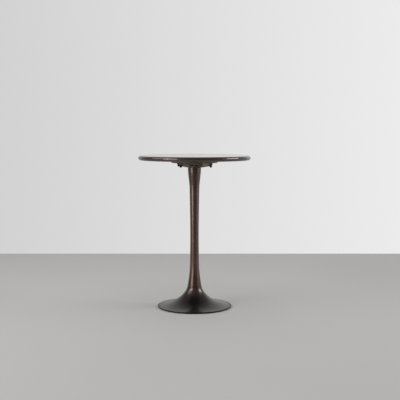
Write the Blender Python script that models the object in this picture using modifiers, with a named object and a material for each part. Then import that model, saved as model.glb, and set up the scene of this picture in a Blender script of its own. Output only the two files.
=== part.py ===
"""Round pedestal side table: a metal-skinned top on a spider, a turned column and a trumpet base.

The table stands on the floor plane z = 0 with its column on the Z axis. All sizes are in metres.
Sizes from the floor up set the base, sizes from the top down set the top and the spider, and the
column fills what is left between them.
"""

import math

import bmesh
import bpy
from mathutils import Matrix

# Whole table
TABLE_HEIGHT = 0.612
TOP_DIAMETER = 0.450
BASE_DIAMETER = 0.298
JOINT_HEIGHT = 0.0895

# Clearances: faces that touch, shanks in holes, tips in blind holes
FIT_GAP = 0.0003
SHANK_CLEARANCE = 0.0003
TIP_CLEARANCE = 0.0008

# Top: a sheet skin with a full-round edge, around a board
TOP_THICKNESS = 0.018
SKIN_THICKNESS = 0.0015
SKIN_RETURN_WIDTH = 0.026
LIP_HEIGHT = 0.0006
LIP_WIDTH = 0.005

# Plate under the board
PLATE_THICKNESS = 0.0104
PLATE_MARGIN = 0.0085
PLATE_EDGE_SLOPE = 0.004
PLATE_OPENING_RADIUS = 0.022
PLATE_SCREW_COUNT = 4
PLATE_SCREW_CIRCLE_RADIUS = 0.062
SCREW_DIAMETER = 0.0038
SCREW_HEAD_RADIUS = 0.0040
SCREW_HEAD_HEIGHT = 0.0026
SCREW_LENGTH = 0.016
SCREW_SLOT_WIDTH = 0.0011
SCREW_SLOT_DEPTH = 0.0012
SCREW_SLOT_LENGTH = 0.0044

# Spider between the plate and the column
ARM_COUNT = 4
ARM_TURN = math.radians(50.5)
ARM_WIDTH = 0.011
ARM_HEEL_LENGTH = 0.0132
ARM_END_RISE = 0.006
ARM_END_CLEARANCE = 0.0013
BOLT_CIRCLE_RADIUS = 0.084
SPIDER_HEIGHT = 0.0183
HUB_THICKNESS = 0.0071
TOWER_STEP = 0.0053
NUT_POCKET_CLEARANCE = 0.0025
PAD_THICKNESS = 0.004
PAD_MARGIN = 0.0008
SPIGOT_LENGTH = 0.009
SPIGOT_STEP = 0.003

# Bolts up through the spider's pads
BOLT_DIAMETER = 0.006
BOLT_HEAD_OVERHANG = 0.002
BOLT_HEAD_HEIGHT = 0.005
BOLT_DOME_HEIGHT = 0.0046
BOLT_DOME_STEP = 0.0004
BOLT_TIP_DEPTH = 0.0028
WASHER_OVERHANG = 0.0022
WASHER_THICKNESS = 0.0015
LOCK_WASHER_SLIT = 0.0008

# Column: a slim waist that swells upwards and flares at both ends
WAIST_RADIUS = 0.0172
WAIST_HEIGHT = 0.287
SHAFT_TOP_RADIUS = 0.0197
COLUMN_TOP_RADIUS = 0.0268
COLUMN_FOOT_RADIUS = 0.0276
TOP_FLARE_LENGTH = 0.089
FOOT_FLARE_LENGTH = 0.100
SHAFT_SWELL_POWER = 1.5
FOOT_FLARE_POWER = 2.14
COLUMN_BORE_RADIUS = 0.011

# Base: a hollow trumpet with a boss in its middle
NECK_RADIUS = 0.0280
BASE_CURVE_POWER = 1.76
BASE_EDGE_HEIGHT = 0.0035
BASE_WALL = 0.005
BOSS_RADIUS = 0.020
BOSS_LENGTH = 0.006
CAVITY_ROOF_DEPTH = 0.024

# Floor pads under the rim of the base
FLOOR_PAD_COUNT = 4
FLOOR_PAD_TURN = math.radians(45.0)
FLOOR_PAD_RADIUS = 0.0085
FLOOR_PAD_THICKNESS = 0.0017
FLOOR_PAD_MARGIN = 0.002

# Tie rod with its nuts, washers and clamp plate
ROD_DIAMETER = 0.012
ROD_CLEARANCE = 0.0004
ROD_STICK_OUT = 0.003
NUT_WALL = 0.0035
NUT_HEIGHT = 0.007
ROD_WASHER_WIDTH = 0.0056
ROD_WASHER_THICKNESS = 0.0025
CLAMP_PLATE_RADIUS = 0.026
CLAMP_PLATE_THICKNESS = 0.005

# Facets: sides around each turned piece, points along each curve
TOP_SIDES = 64
COLUMN_SIDES = 40
BASE_SIDES = 56
SMALL_SIDES = 16
HOLE_SIDES = 12
HEX_SIDES = 6
OUTER_ARC_POINTS = 11
INNER_ARC_POINTS = 5
LIP_POINTS = 2
DOME_POINTS = 5
COLUMN_POINTS = 21
BASE_POINTS = 14
SHARP_ANGLE = math.radians(35.0)
MERGE_DISTANCE = 0.00001
CUT_MARGIN = 0.001

# Levels from the top down
FIELD_LEVEL = TABLE_HEIGHT - LIP_HEIGHT
UNDERSIDE_LEVEL = TABLE_HEIGHT - TOP_THICKNESS
PLATE_TOP = UNDERSIDE_LEVEL - FIT_GAP
PLATE_BOTTOM = PLATE_TOP - PLATE_THICKNESS
PAD_TOP = PLATE_BOTTOM - FIT_GAP
PAD_BOTTOM = PAD_TOP - PAD_THICKNESS
HUB_BOTTOM = PAD_TOP - SPIDER_HEIGHT
HUB_TOP = HUB_BOTTOM + HUB_THICKNESS
COLUMN_TOP = HUB_BOTTOM - FIT_GAP

# Levels from the floor up
BASE_BOTTOM = FLOOR_PAD_THICKNESS + FIT_GAP
BASE_EDGE_TOP = BASE_BOTTOM + BASE_EDGE_HEIGHT
NECK_TOP = JOINT_HEIGHT - FIT_GAP
CAVITY_ROOF = NECK_TOP - CAVITY_ROOF_DEPTH
BOSS_BOTTOM = CAVITY_ROOF - BOSS_LENGTH

# Radii that pieces share
TOP_RADIUS = TOP_DIAMETER / 2
EDGE_RADIUS = TOP_THICKNESS / 2
EDGE_CENTRE_RADIUS = TOP_RADIUS - EDGE_RADIUS
EDGE_CENTRE_LEVEL = TABLE_HEIGHT - EDGE_RADIUS
RETURN_RADIUS = EDGE_CENTRE_RADIUS - SKIN_RETURN_WIDTH
BASE_RADIUS = BASE_DIAMETER / 2
FOOT_RING_WIDTH = 2 * (FLOOR_PAD_RADIUS + FLOOR_PAD_MARGIN)
FOOT_RING_RADIUS = BASE_RADIUS - FOOT_RING_WIDTH
PLATE_BOTTOM_RADIUS = BOLT_CIRCLE_RADIUS + PLATE_MARGIN
BOLT_RADIUS = BOLT_DIAMETER / 2
BOLT_HOLE_RADIUS = BOLT_RADIUS + SHANK_CLEARANCE
BOLT_HEAD_RADIUS = BOLT_RADIUS + BOLT_HEAD_OVERHANG
WASHER_RADIUS = BOLT_HEAD_RADIUS + WASHER_OVERHANG
PAD_RADIUS = WASHER_RADIUS + PAD_MARGIN
ROD_RADIUS = ROD_DIAMETER / 2
ROD_HOLE_RADIUS = ROD_RADIUS + ROD_CLEARANCE
ROD_WASHER_RADIUS = ROD_HOLE_RADIUS + ROD_WASHER_WIDTH
TOWER_RADIUS = COLUMN_TOP_RADIUS - TOWER_STEP
NUT_POCKET_RADIUS = ROD_WASHER_RADIUS + NUT_POCKET_CLEARANCE
SPIGOT_RADIUS = COLUMN_BORE_RADIUS + SPIGOT_STEP
SOCKET_RADIUS = SPIGOT_RADIUS + FIT_GAP
SOCKET_DEPTH = SPIGOT_LENGTH + FIT_GAP
NUT_RADIUS = (ROD_RADIUS + NUT_WALL) / math.cos(math.pi / HEX_SIDES)

PARTS = "round_side_table"
CUTTERS = "round_side_table_cutters"


def clear_scene():
    """Empties the scene of whatever was in it."""
    for item in list(bpy.data.objects):
        bpy.data.objects.remove(item, do_unlink=True)


def new_collection(name):
    """Makes a collection and links it to the scene."""
    collection = bpy.data.collections.new(name)
    bpy.context.scene.collection.children.link(collection)
    return collection


def finish(name, colour, roughness, metallic):
    """Makes a material with one Principled shader."""
    material = bpy.data.materials.new(name)
    material.use_nodes = True
    shader = material.node_tree.nodes["Principled BSDF"]
    shader.inputs["Base Color"].default_value = (*colour, 1.0)
    shader.inputs["Roughness"].default_value = roughness
    shader.inputs["Metallic"].default_value = metallic
    return material


def add_part(name, mesh, material):
    """Puts a mesh in the parts collection under the table's empty."""
    item = bpy.data.objects.new(name, mesh)
    bpy.data.collections[PARTS].objects.link(item)
    item.parent = bpy.data.objects[PARTS]
    mesh.materials.clear()
    mesh.materials.append(material)
    mesh.shade_smooth()
    mesh.set_sharp_from_angle(angle=SHARP_ANGLE)
    return item


def add_cutter(name, mesh):
    """Puts a mesh in the cutters collection, shown as wire and left out of renders."""
    item = bpy.data.objects.new(name, mesh)
    bpy.data.collections[CUTTERS].objects.link(item)
    item.hide_render = True
    item.display_type = "WIRE"
    return item


def combine(target, other, operation):
    """Adds one Boolean to a part."""
    modifier = target.modifiers.new(other.name, "BOOLEAN")
    modifier.operation = operation
    modifier.object = other
    modifier.solver = "EXACT"


def evaluated_mesh(item):
    """Takes an object's finished shape as a plain mesh with its seams welded, and removes the object."""
    graph = bpy.context.evaluated_depsgraph_get()
    mesh = bpy.data.meshes.new_from_object(item.evaluated_get(graph))
    bpy.data.objects.remove(item, do_unlink=True)
    shape = bmesh.new()
    shape.from_mesh(mesh)
    bmesh.ops.remove_doubles(shape, verts=shape.verts, dist=MERGE_DISTANCE)
    shape.to_mesh(mesh)
    shape.free()
    return mesh


def turned_mesh(name, profile, sides, closed):
    """Turns a profile of (radius, height) points around Z; the profile runs down its outer side."""
    mesh = bpy.data.meshes.new(name)
    count = len(profile)
    edges = [(i, i + 1) for i in range(count - 1)]
    if closed:
        edges.append((count - 1, 0))
    mesh.from_pydata([(radius, 0.0, height) for radius, height in profile], edges, [])
    item = bpy.data.objects.new(name, mesh)
    bpy.context.scene.collection.objects.link(item)
    screw = item.modifiers.new("turn", "SCREW")
    screw.axis = "Z"
    screw.angle = 2 * math.pi
    screw.steps = sides
    screw.render_steps = sides
    screw.use_merge_vertices = True
    screw.merge_threshold = MERGE_DISTANCE
    return evaluated_mesh(item)


def ring_mesh(name, inner, outer, bottom, top, sides):
    """A flat ring or sleeve around Z."""
    profile = [(outer, top), (outer, bottom), (inner, bottom), (inner, top)]
    return turned_mesh(name, profile, sides, closed=True)


def rod_mesh(name, radius, bottom, top, sides):
    """A plain round bar on Z."""
    profile = [(0.0, top), (radius, top), (radius, bottom), (0.0, bottom)]
    return turned_mesh(name, profile, sides, closed=False)


def plate_mesh(name, outline, thickness):
    """A flat outline in its own XY plane, given a thickness across that plane."""
    curve = bpy.data.curves.new(name, "CURVE")
    curve.dimensions = "2D"
    curve.fill_mode = "BOTH"
    curve.extrude = thickness / 2
    spline = curve.splines.new("POLY")
    spline.points.add(len(outline) - 1)
    for point, (x, y) in zip(spline.points, outline):
        point.co = (x, y, 0.0, 1.0)
    spline.use_cyclic_u = True
    item = bpy.data.objects.new(name, curve)
    bpy.context.scene.collection.objects.link(item)
    return evaluated_mesh(item)


def arc(centre, radius, start, end, count):
    """Points on an arc of a turned profile, both ends included."""
    step = (end - start) / (count - 1)
    angles = [start + step * i for i in range(count)]
    return [(centre[0] + radius * math.cos(a), centre[1] + radius * math.sin(a)) for a in angles]


def smooth_step(t):
    """Eases from 0 to 1."""
    t = min(max(t, 0.0), 1.0)
    return t * t * (3.0 - 2.0 * t)


def circle_places(radius, count, turn):
    """Points evenly spaced on a circle around Z."""
    angles = [turn + 2 * math.pi * i / count for i in range(count)]
    return [(radius * math.cos(a), radius * math.sin(a), 0.0) for a in angles]


def screw_places():
    """The plate's screws sit between the spider's arms."""
    turn = ARM_TURN + math.pi / ARM_COUNT
    return circle_places(PLATE_SCREW_CIRCLE_RADIUS, PLATE_SCREW_COUNT, turn)


def bolt_places():
    """The bolts sit in the pads at the ends of the spider's arms."""
    return circle_places(BOLT_CIRCLE_RADIUS, ARM_COUNT, ARM_TURN)


def lip_curve(level):
    """The rise from the flat field to the crest of the edge, ending below the crest itself."""
    points = []
    for i in range(LIP_POINTS + 1):
        share = i / (LIP_POINTS + 1)
        radius = EDGE_CENTRE_RADIUS - LIP_WIDTH * (1.0 - share)
        points.append((radius, level + LIP_HEIGHT * smooth_step(share)))
    return points


def make_top_skin(material):
    """Sheet skin: field, lip, full-round edge and a flange turned under, open below."""
    centre = (EDGE_CENTRE_RADIUS, EDGE_CENTRE_LEVEL)
    up = math.pi / 2
    inner_radius = EDGE_RADIUS - SKIN_THICKNESS
    outside = [(0.0, FIELD_LEVEL)] + lip_curve(FIELD_LEVEL)
    outside += arc(centre, EDGE_RADIUS, up, -up, OUTER_ARC_POINTS)
    outside.append((RETURN_RADIUS, UNDERSIDE_LEVEL))
    inside = [(RETURN_RADIUS, UNDERSIDE_LEVEL + SKIN_THICKNESS)]
    inside += arc(centre, inner_radius, -up, up, INNER_ARC_POINTS)
    inside += list(reversed(lip_curve(FIELD_LEVEL - SKIN_THICKNESS)))
    inside.append((0.0, FIELD_LEVEL - SKIN_THICKNESS))
    add_part("top_skin", turned_mesh("top_skin", outside + inside, TOP_SIDES, False), material)


def make_top_core(material):
    """Board that fills the skin, rebated over its flange and drilled for the plate's screws."""
    top = FIELD_LEVEL - SKIN_THICKNESS - FIT_GAP
    shoulder = UNDERSIDE_LEVEL + SKIN_THICKNESS + FIT_GAP
    wide = EDGE_CENTRE_RADIUS - FIT_GAP
    narrow = RETURN_RADIUS - FIT_GAP
    profile = [
        (0.0, top),
        (wide, top),
        (wide, shoulder),
        (narrow, shoulder),
        (narrow, UNDERSIDE_LEVEL),
        (0.0, UNDERSIDE_LEVEL),
    ]
    core = add_part("top_core", turned_mesh("top_core", profile, TOP_SIDES, False), material)
    radius = SCREW_DIAMETER / 2 + SHANK_CLEARANCE
    tip = PLATE_BOTTOM + SCREW_LENGTH + TIP_CLEARANCE
    for number, place in enumerate(screw_places(), 1):
        name = f"core_pilot_hole_{number}"
        hole = add_cutter(name, rod_mesh(name, radius, UNDERSIDE_LEVEL - CUT_MARGIN, tip, HOLE_SIDES))
        hole.location = place
        combine(core, hole, "DIFFERENCE")


def screw_profile(clearance):
    """Half-section of a countersunk screw, head down, with its head face flush with the plate."""
    shank = SCREW_DIAMETER / 2 + clearance
    head = SCREW_HEAD_RADIUS + clearance
    neck = PLATE_BOTTOM + SCREW_HEAD_HEIGHT
    return shank, head, neck


def make_mounting_plate(material):
    """Round plate with a sloping edge, an opening for the tie rod, bolt holes and screw holes."""
    profile = [
        (PLATE_BOTTOM_RADIUS + PLATE_EDGE_SLOPE, PLATE_TOP),
        (PLATE_BOTTOM_RADIUS, PLATE_BOTTOM),
        (PLATE_OPENING_RADIUS, PLATE_BOTTOM),
        (PLATE_OPENING_RADIUS, PLATE_TOP),
    ]
    mesh = turned_mesh("mounting_plate", profile, TOP_SIDES, True)
    plate = add_part("mounting_plate", mesh, material)
    below = PLATE_BOTTOM - CUT_MARGIN
    above = PLATE_TOP + CUT_MARGIN
    for number, place in enumerate(bolt_places(), 1):
        name = f"plate_bolt_hole_{number}"
        hole = add_cutter(name, rod_mesh(name, BOLT_HOLE_RADIUS, below, above, HOLE_SIDES))
        hole.location = place
        combine(plate, hole, "DIFFERENCE")
    shank, head, neck = screw_profile(SHANK_CLEARANCE)
    sink = [(0.0, above), (shank, above), (shank, neck), (head, PLATE_BOTTOM), (head, below), (0.0, below)]
    for number, place in enumerate(screw_places(), 1):
        name = f"plate_screw_hole_{number}"
        hole = add_cutter(name, turned_mesh(name, sink, HOLE_SIDES, False))
        hole.location = place
        combine(plate, hole, "DIFFERENCE")


def make_plate_screws(material):
    """Countersunk screws with a cross recess, from the plate up into the board."""
    shank, head, neck = screw_profile(0.0)
    tip = PLATE_BOTTOM + SCREW_LENGTH
    profile = [
        (0.0, tip),
        (shank, tip - shank),
        (shank, neck),
        (head, PLATE_BOTTOM),
        (0.0, PLATE_BOTTOM),
    ]
    half_length = SCREW_SLOT_LENGTH / 2
    half_width = SCREW_SLOT_WIDTH / 2
    slot = [
        (half_length, half_width),
        (-half_length, half_width),
        (-half_length, -half_width),
        (half_length, -half_width),
    ]
    for number, place in enumerate(screw_places(), 1):
        name = f"plate_screw_{number}"
        screw = add_part(name, turned_mesh(name, profile, HOLE_SIDES, False), material)
        screw.location = place
        for side, turn in (("long", 0.0), ("cross", math.pi / 2)):
            slot_name = f"{name}_{side}_slot"
            recess = add_cutter(slot_name, plate_mesh(slot_name, slot, 2 * SCREW_SLOT_DEPTH))
            recess.location = (place[0], place[1], PLATE_BOTTOM)
            recess.rotation_euler = (0.0, 0.0, turn)
            combine(screw, recess, "DIFFERENCE")


def arm_outline():
    """Side view of one deep spider arm as (distance from the axis, height), from tower to pad."""
    root = (NUT_POCKET_RADIUS + TOWER_RADIUS) / 2
    heel = COLUMN_TOP_RADIUS + ARM_HEEL_LENGTH
    end = BOLT_CIRCLE_RADIUS - WASHER_RADIUS - ARM_END_CLEARANCE
    low = HUB_BOTTOM + FIT_GAP
    thin = PAD_BOTTOM + FIT_GAP
    high = PAD_TOP - FIT_GAP
    return [
        (root, low),
        (heel, low),
        (end, HUB_BOTTOM + ARM_END_RISE),
        (end, thin),
        (BOLT_CIRCLE_RADIUS, thin),
        (BOLT_CIRCLE_RADIUS, high),
        (root, high),
    ]


def make_spider(material):
    """Hub with a spigot below and a tower around the nut, four deep arms and a thin drilled pad on each."""
    spigot_bottom = HUB_BOTTOM - SPIGOT_LENGTH
    profile = [
        (TOWER_RADIUS, PAD_TOP),
        (TOWER_RADIUS, HUB_TOP),
        (COLUMN_TOP_RADIUS, HUB_TOP),
        (COLUMN_TOP_RADIUS, HUB_BOTTOM),
        (SPIGOT_RADIUS, HUB_BOTTOM),
        (SPIGOT_RADIUS, spigot_bottom),
        (ROD_HOLE_RADIUS, spigot_bottom),
        (ROD_HOLE_RADIUS, HUB_TOP),
        (NUT_POCKET_RADIUS, HUB_TOP),
        (NUT_POCKET_RADIUS, PAD_TOP),
    ]
    spider = add_part("spider", turned_mesh("spider", profile, COLUMN_SIDES, True), material)
    holes = []
    for number, place in enumerate(bolt_places(), 1):
        angle = math.atan2(place[1], place[0])
        name = f"spider_arm_{number}"
        arm = add_cutter(name, plate_mesh(name, arm_outline(), ARM_WIDTH))
        arm.matrix_world = Matrix.Rotation(angle, 4, "Z") @ Matrix.Rotation(math.pi / 2, 4, "X")
        combine(spider, arm, "UNION")
        name = f"spider_pad_{number}"
        pad = add_cutter(name, rod_mesh(name, PAD_RADIUS, PAD_BOTTOM, PAD_TOP, SMALL_SIDES))
        pad.location = place
        combine(spider, pad, "UNION")
        name = f"spider_bolt_hole_{number}"
        below = PAD_BOTTOM - CUT_MARGIN
        above = PAD_TOP + CUT_MARGIN
        hole = add_cutter(name, rod_mesh(name, BOLT_HOLE_RADIUS, below, above, HOLE_SIDES))
        hole.location = place
        holes.append(hole)
    for hole in holes:
        combine(spider, hole, "DIFFERENCE")


def make_bolts(bolt_material, washer_material):
    """Domed hexagon bolts under the pads, each with a plain washer and a split lock washer."""
    washer_top = PAD_BOTTOM - FIT_GAP
    washer_bottom = washer_top - WASHER_THICKNESS
    lock_top = washer_bottom - FIT_GAP
    lock_bottom = lock_top - WASHER_THICKNESS
    head_top = lock_bottom - FIT_GAP
    head_bottom = head_top - BOLT_HEAD_HEIGHT
    collar_top = (head_top + head_bottom) / 2
    tip = PLATE_TOP - BOLT_TIP_DEPTH
    dome_radius = BOLT_HEAD_RADIUS - BOLT_DOME_STEP
    dome_top = head_bottom - BOLT_DOME_STEP
    dome_drop = BOLT_DOME_HEIGHT - BOLT_DOME_STEP
    core_profile = [(0.0, tip), (BOLT_RADIUS, tip), (BOLT_RADIUS, collar_top), (dome_radius, collar_top)]
    for radius, height in arc((0.0, 0.0), 1.0, 0.0, -math.pi / 2, DOME_POINTS)[:-1]:
        core_profile.append((radius * dome_radius, dome_top + height * dome_drop))
    core_profile.append((0.0, dome_top - dome_drop))
    corner = BOLT_HEAD_RADIUS / math.cos(math.pi / HEX_SIDES)
    for number, place in enumerate(bolt_places(), 1):
        name = f"spider_bolt_{number}"
        bolt = add_part(name, turned_mesh(name, core_profile, SMALL_SIDES, False), bolt_material)
        bolt.location = place
        head_name = f"bolt_head_{number}"
        head = add_cutter(head_name, rod_mesh(head_name, corner, head_bottom, head_top, HEX_SIDES))
        head.location = place
        combine(bolt, head, "UNION")

        name = f"bolt_washer_{number}"
        mesh = ring_mesh(name, BOLT_HOLE_RADIUS, WASHER_RADIUS, washer_bottom, washer_top, SMALL_SIDES)
        washer = add_part(name, mesh, washer_material)
        washer.location = place

        name = f"bolt_lock_washer_{number}"
        mesh = ring_mesh(name, BOLT_HOLE_RADIUS, BOLT_HEAD_RADIUS, lock_bottom, lock_top, SMALL_SIDES)
        lock = add_part(name, mesh, washer_material)
        lock.location = place
        slit_name = f"{name}_slit"
        slit = add_cutter(slit_name, slit_mesh(slit_name, BOLT_HOLE_RADIUS, BOLT_HEAD_RADIUS))
        slit.location = (place[0], place[1], (lock_bottom + lock_top) / 2)
        slit.rotation_euler = (0.0, 0.0, math.atan2(place[1], place[0]))
        combine(lock, slit, "DIFFERENCE")


def slit_mesh(name, inner, outer):
    """A thin box across one side of a lock washer."""
    near = inner - CUT_MARGIN
    far = outer + CUT_MARGIN
    half = LOCK_WASHER_SLIT / 2
    outline = [(near, -half), (far, -half), (far, half), (near, half)]
    return plate_mesh(name, outline, 2 * ROD_WASHER_THICKNESS)


def column_radius(height):
    """Outer radius of the column: waist, swelling shaft, eased flare above, curved flare below."""
    shaft_top = COLUMN_TOP - TOP_FLARE_LENGTH
    span = shaft_top - WAIST_HEIGHT
    swell = SHAFT_TOP_RADIUS - WAIST_RADIUS

    def shaft(level):
        away = min(abs(level - WAIST_HEIGHT) / span, 1.0)
        return WAIST_RADIUS + swell * away ** SHAFT_SWELL_POWER

    head = (COLUMN_TOP_RADIUS - SHAFT_TOP_RADIUS) * smooth_step((height - shaft_top) / TOP_FLARE_LENGTH)
    below = max(JOINT_HEIGHT + FOOT_FLARE_LENGTH - height, 0.0) / FOOT_FLARE_LENGTH
    foot = (COLUMN_FOOT_RADIUS - shaft(JOINT_HEIGHT)) * below ** FOOT_FLARE_POWER
    return shaft(height) + head + foot


def make_column(material):
    """Hollow turned column with a socket at each end for the spigots of spider and base."""
    length = COLUMN_TOP - JOINT_HEIGHT
    outside = []
    for i in range(COLUMN_POINTS):
        share = (1.0 + math.cos(math.pi * i / (COLUMN_POINTS - 1))) / 2
        height = JOINT_HEIGHT + length * share
        outside.append((column_radius(height), height))
    inside = [
        (SOCKET_RADIUS, JOINT_HEIGHT),
        (SOCKET_RADIUS, JOINT_HEIGHT + SOCKET_DEPTH),
        (COLUMN_BORE_RADIUS, JOINT_HEIGHT + SOCKET_DEPTH),
        (COLUMN_BORE_RADIUS, COLUMN_TOP - SOCKET_DEPTH),
        (SOCKET_RADIUS, COLUMN_TOP - SOCKET_DEPTH),
        (SOCKET_RADIUS, COLUMN_TOP),
    ]
    add_part("column", turned_mesh("column", outside + inside, COLUMN_SIDES, True), material)


def trumpet_point(share):
    """Point on the outer curve of the base: 0 at the neck, 1 at the rim, and its outward normal."""
    def place(s):
        angle = min(max(s, 0.0), 1.0) * math.pi / 2
        out = 1.0 - math.cos(angle) ** (2 / BASE_CURVE_POWER)
        up = 1.0 - math.sin(angle) ** (2 / BASE_CURVE_POWER)
        radius = NECK_RADIUS + (BASE_RADIUS - NECK_RADIUS) * out
        return radius, BASE_EDGE_TOP + (NECK_TOP - BASE_EDGE_TOP) * up

    step = 0.5 / BASE_POINTS
    before = place(share - step)
    after = place(share + step)
    along = (after[0] - before[0], after[1] - before[1])
    size = math.hypot(*along)
    return place(share), (-along[1] / size, along[0] / size)


def make_base(material):
    """Trumpet casting: spigot, flared skin, foot ring, hollow underside and a drilled boss."""
    spigot_top = NECK_TOP + SPIGOT_LENGTH
    outside = [(ROD_HOLE_RADIUS, spigot_top), (SPIGOT_RADIUS, spigot_top), (SPIGOT_RADIUS, NECK_TOP)]
    cavity = []
    for i in range(BASE_POINTS + 1):
        (radius, height), normal = trumpet_point(i / BASE_POINTS)
        outside.append((radius, height))
        inner = (radius - BASE_WALL * normal[0], height - BASE_WALL * normal[1])
        clear_of_ring = inner[0] < FOOT_RING_RADIUS - FIT_GAP and inner[1] > BASE_BOTTOM + FIT_GAP
        if clear_of_ring and inner[1] < CAVITY_ROOF - FIT_GAP:
            cavity.append(inner)
    outside += [(BASE_RADIUS, BASE_BOTTOM), (FOOT_RING_RADIUS, BASE_BOTTOM)]
    inside = list(reversed(cavity))
    inside += [
        (cavity[0][0], CAVITY_ROOF),
        (BOSS_RADIUS, CAVITY_ROOF),
        (BOSS_RADIUS, BOSS_BOTTOM),
        (ROD_HOLE_RADIUS, BOSS_BOTTOM),
    ]
    add_part("base", turned_mesh("base", outside + inside, BASE_SIDES, True), material)


def make_floor_pads(material):
    """Thin round pads under the foot ring."""
    radius = BASE_RADIUS - FOOT_RING_WIDTH / 2
    for number, place in enumerate(circle_places(radius, FLOOR_PAD_COUNT, FLOOR_PAD_TURN), 1):
        name = f"floor_pad_{number}"
        mesh = rod_mesh(name, FLOOR_PAD_RADIUS, 0.0, FLOOR_PAD_THICKNESS, SMALL_SIDES)
        pad = add_part(name, mesh, material)
        pad.location = place


def make_tie_rod(material):
    """Rod through the column, clamped by a nut on the hub and a nut under the boss of the base."""
    bore = ROD_HOLE_RADIUS
    wide = ROD_WASHER_RADIUS
    washer_bottom = HUB_TOP + FIT_GAP
    washer_top = washer_bottom + ROD_WASHER_THICKNESS
    mesh = ring_mesh("rod_top_washer", bore, wide, washer_bottom, washer_top, SMALL_SIDES)
    add_part("rod_top_washer", mesh, material)
    nut_bottom = washer_top + FIT_GAP
    nut_top = nut_bottom + NUT_HEIGHT
    make_nut("rod_top_nut", nut_bottom, nut_top, material)

    clamp_top = BOSS_BOTTOM - FIT_GAP
    clamp_bottom = clamp_top - CLAMP_PLATE_THICKNESS
    mesh = ring_mesh("clamp_plate", bore, CLAMP_PLATE_RADIUS, clamp_bottom, clamp_top, COLUMN_SIDES)
    add_part("clamp_plate", mesh, material)
    lock_top = clamp_bottom - FIT_GAP
    lock_bottom = lock_top - ROD_WASHER_THICKNESS
    mesh = ring_mesh("rod_lock_washer", bore, wide, lock_bottom, lock_top, SMALL_SIDES)
    lock = add_part("rod_lock_washer", mesh, material)
    slit = add_cutter("rod_lock_washer_slit", slit_mesh("rod_lock_washer_slit", bore, wide))
    slit.location = (0.0, 0.0, (lock_bottom + lock_top) / 2)
    combine(lock, slit, "DIFFERENCE")
    low_nut_top = lock_bottom - FIT_GAP
    low_nut_bottom = low_nut_top - NUT_HEIGHT
    make_nut("rod_bottom_nut", low_nut_bottom, low_nut_top, material)

    rod_bottom = low_nut_bottom - ROD_STICK_OUT
    rod_top = nut_top + ROD_STICK_OUT
    add_part("tie_rod", rod_mesh("tie_rod", ROD_RADIUS, rod_bottom, rod_top, SMALL_SIDES), material)


def make_nut(name, bottom, top, material):
    """Hexagon nut around the tie rod."""
    nut = add_part(name, rod_mesh(name, NUT_RADIUS, bottom, top, HEX_SIDES), material)
    hole_name = f"{name}_hole"
    low = bottom - CUT_MARGIN
    high = top + CUT_MARGIN
    hole = add_cutter(hole_name, rod_mesh(hole_name, ROD_HOLE_RADIUS, low, high, SMALL_SIDES))
    combine(nut, hole, "DIFFERENCE")


def main():
    """Builds the table from the top down."""
    clear_scene()
    parts = new_collection(PARTS)
    new_collection(CUTTERS)
    parts.objects.link(bpy.data.objects.new(PARTS, None))

    bronze_top = finish("bronze_top", (0.060, 0.040, 0.033), 0.25, 0.9)
    bronze_column = finish("bronze_column", (0.060, 0.038, 0.030), 0.32, 0.9)
    bronze_base = finish("bronze_base", (0.050, 0.038, 0.034), 0.45, 0.8)
    raw_casting = finish("raw_casting", (0.090, 0.075, 0.055), 0.5, 0.8)
    board = finish("board", (0.045, 0.030, 0.025), 0.7, 0.0)
    black_oxide = finish("black_oxide", (0.010, 0.010, 0.009), 0.45, 0.6)
    zinc = finish("zinc", (0.420, 0.410, 0.390), 0.35, 1.0)
    pad_felt = finish("pad_felt", (0.012, 0.011, 0.011), 0.95, 0.0)

    make_top_skin(bronze_top)
    make_top_core(board)
    make_mounting_plate(bronze_top)
    make_plate_screws(zinc)
    make_spider(raw_casting)
    make_bolts(black_oxide, black_oxide)
    make_column(bronze_column)
    make_base(bronze_base)
    make_tie_rod(zinc)
    make_floor_pads(pad_felt)


main()
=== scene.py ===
"""Round pedestal side table: fine pieces, finishes, floor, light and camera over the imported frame.

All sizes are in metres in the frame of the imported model: the floor is z = 0, the column stands on
the Z axis and the camera looks along +Y. Every piece is a plain mesh whose object sits at the origin.
"""

import logging
import math
from collections.abc import Callable, Mapping, Sequence
from dataclasses import dataclass
from enum import Enum

import bmesh
import bpy
from mathutils import Matrix, Vector, noise

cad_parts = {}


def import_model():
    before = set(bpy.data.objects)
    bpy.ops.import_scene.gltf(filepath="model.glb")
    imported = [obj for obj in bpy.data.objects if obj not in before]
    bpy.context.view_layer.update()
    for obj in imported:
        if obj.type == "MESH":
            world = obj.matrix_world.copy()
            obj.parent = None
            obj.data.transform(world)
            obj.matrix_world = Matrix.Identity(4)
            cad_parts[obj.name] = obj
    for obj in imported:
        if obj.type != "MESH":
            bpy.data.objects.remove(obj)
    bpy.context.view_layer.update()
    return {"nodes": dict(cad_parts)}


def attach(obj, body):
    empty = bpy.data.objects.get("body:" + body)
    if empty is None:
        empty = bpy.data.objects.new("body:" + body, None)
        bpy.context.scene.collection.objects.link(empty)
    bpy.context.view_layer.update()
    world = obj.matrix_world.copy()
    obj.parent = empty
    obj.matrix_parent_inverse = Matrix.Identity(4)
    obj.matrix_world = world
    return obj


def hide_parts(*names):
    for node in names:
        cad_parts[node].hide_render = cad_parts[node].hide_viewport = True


LOG = logging.getLogger("round_side_table")

BODY = "root"
WEAR = "wear"
MERGE_DISTANCE = 1e-5
POLE_RADIUS = 1e-7
LARGEST_EASE = 0.45
SHARP_ANGLE = math.radians(38.0)
HEXAGON_CHAMFER = math.radians(30.0)
FULL_TURN = 2.0 * math.pi

Point = tuple[float, float]
Ring = Point | Callable[[float], Point]
Colour = tuple[float, float, float]


@dataclass(frozen=True)
class Circle:
    """A circle of evenly spaced fasteners about the table's axis.

    Attributes:
        radius: radius of the circle.
        first: angle of the first fastener, in degrees.
        count: number of fasteners.
    """

    radius: float
    first: float
    count: int = 4


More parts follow.
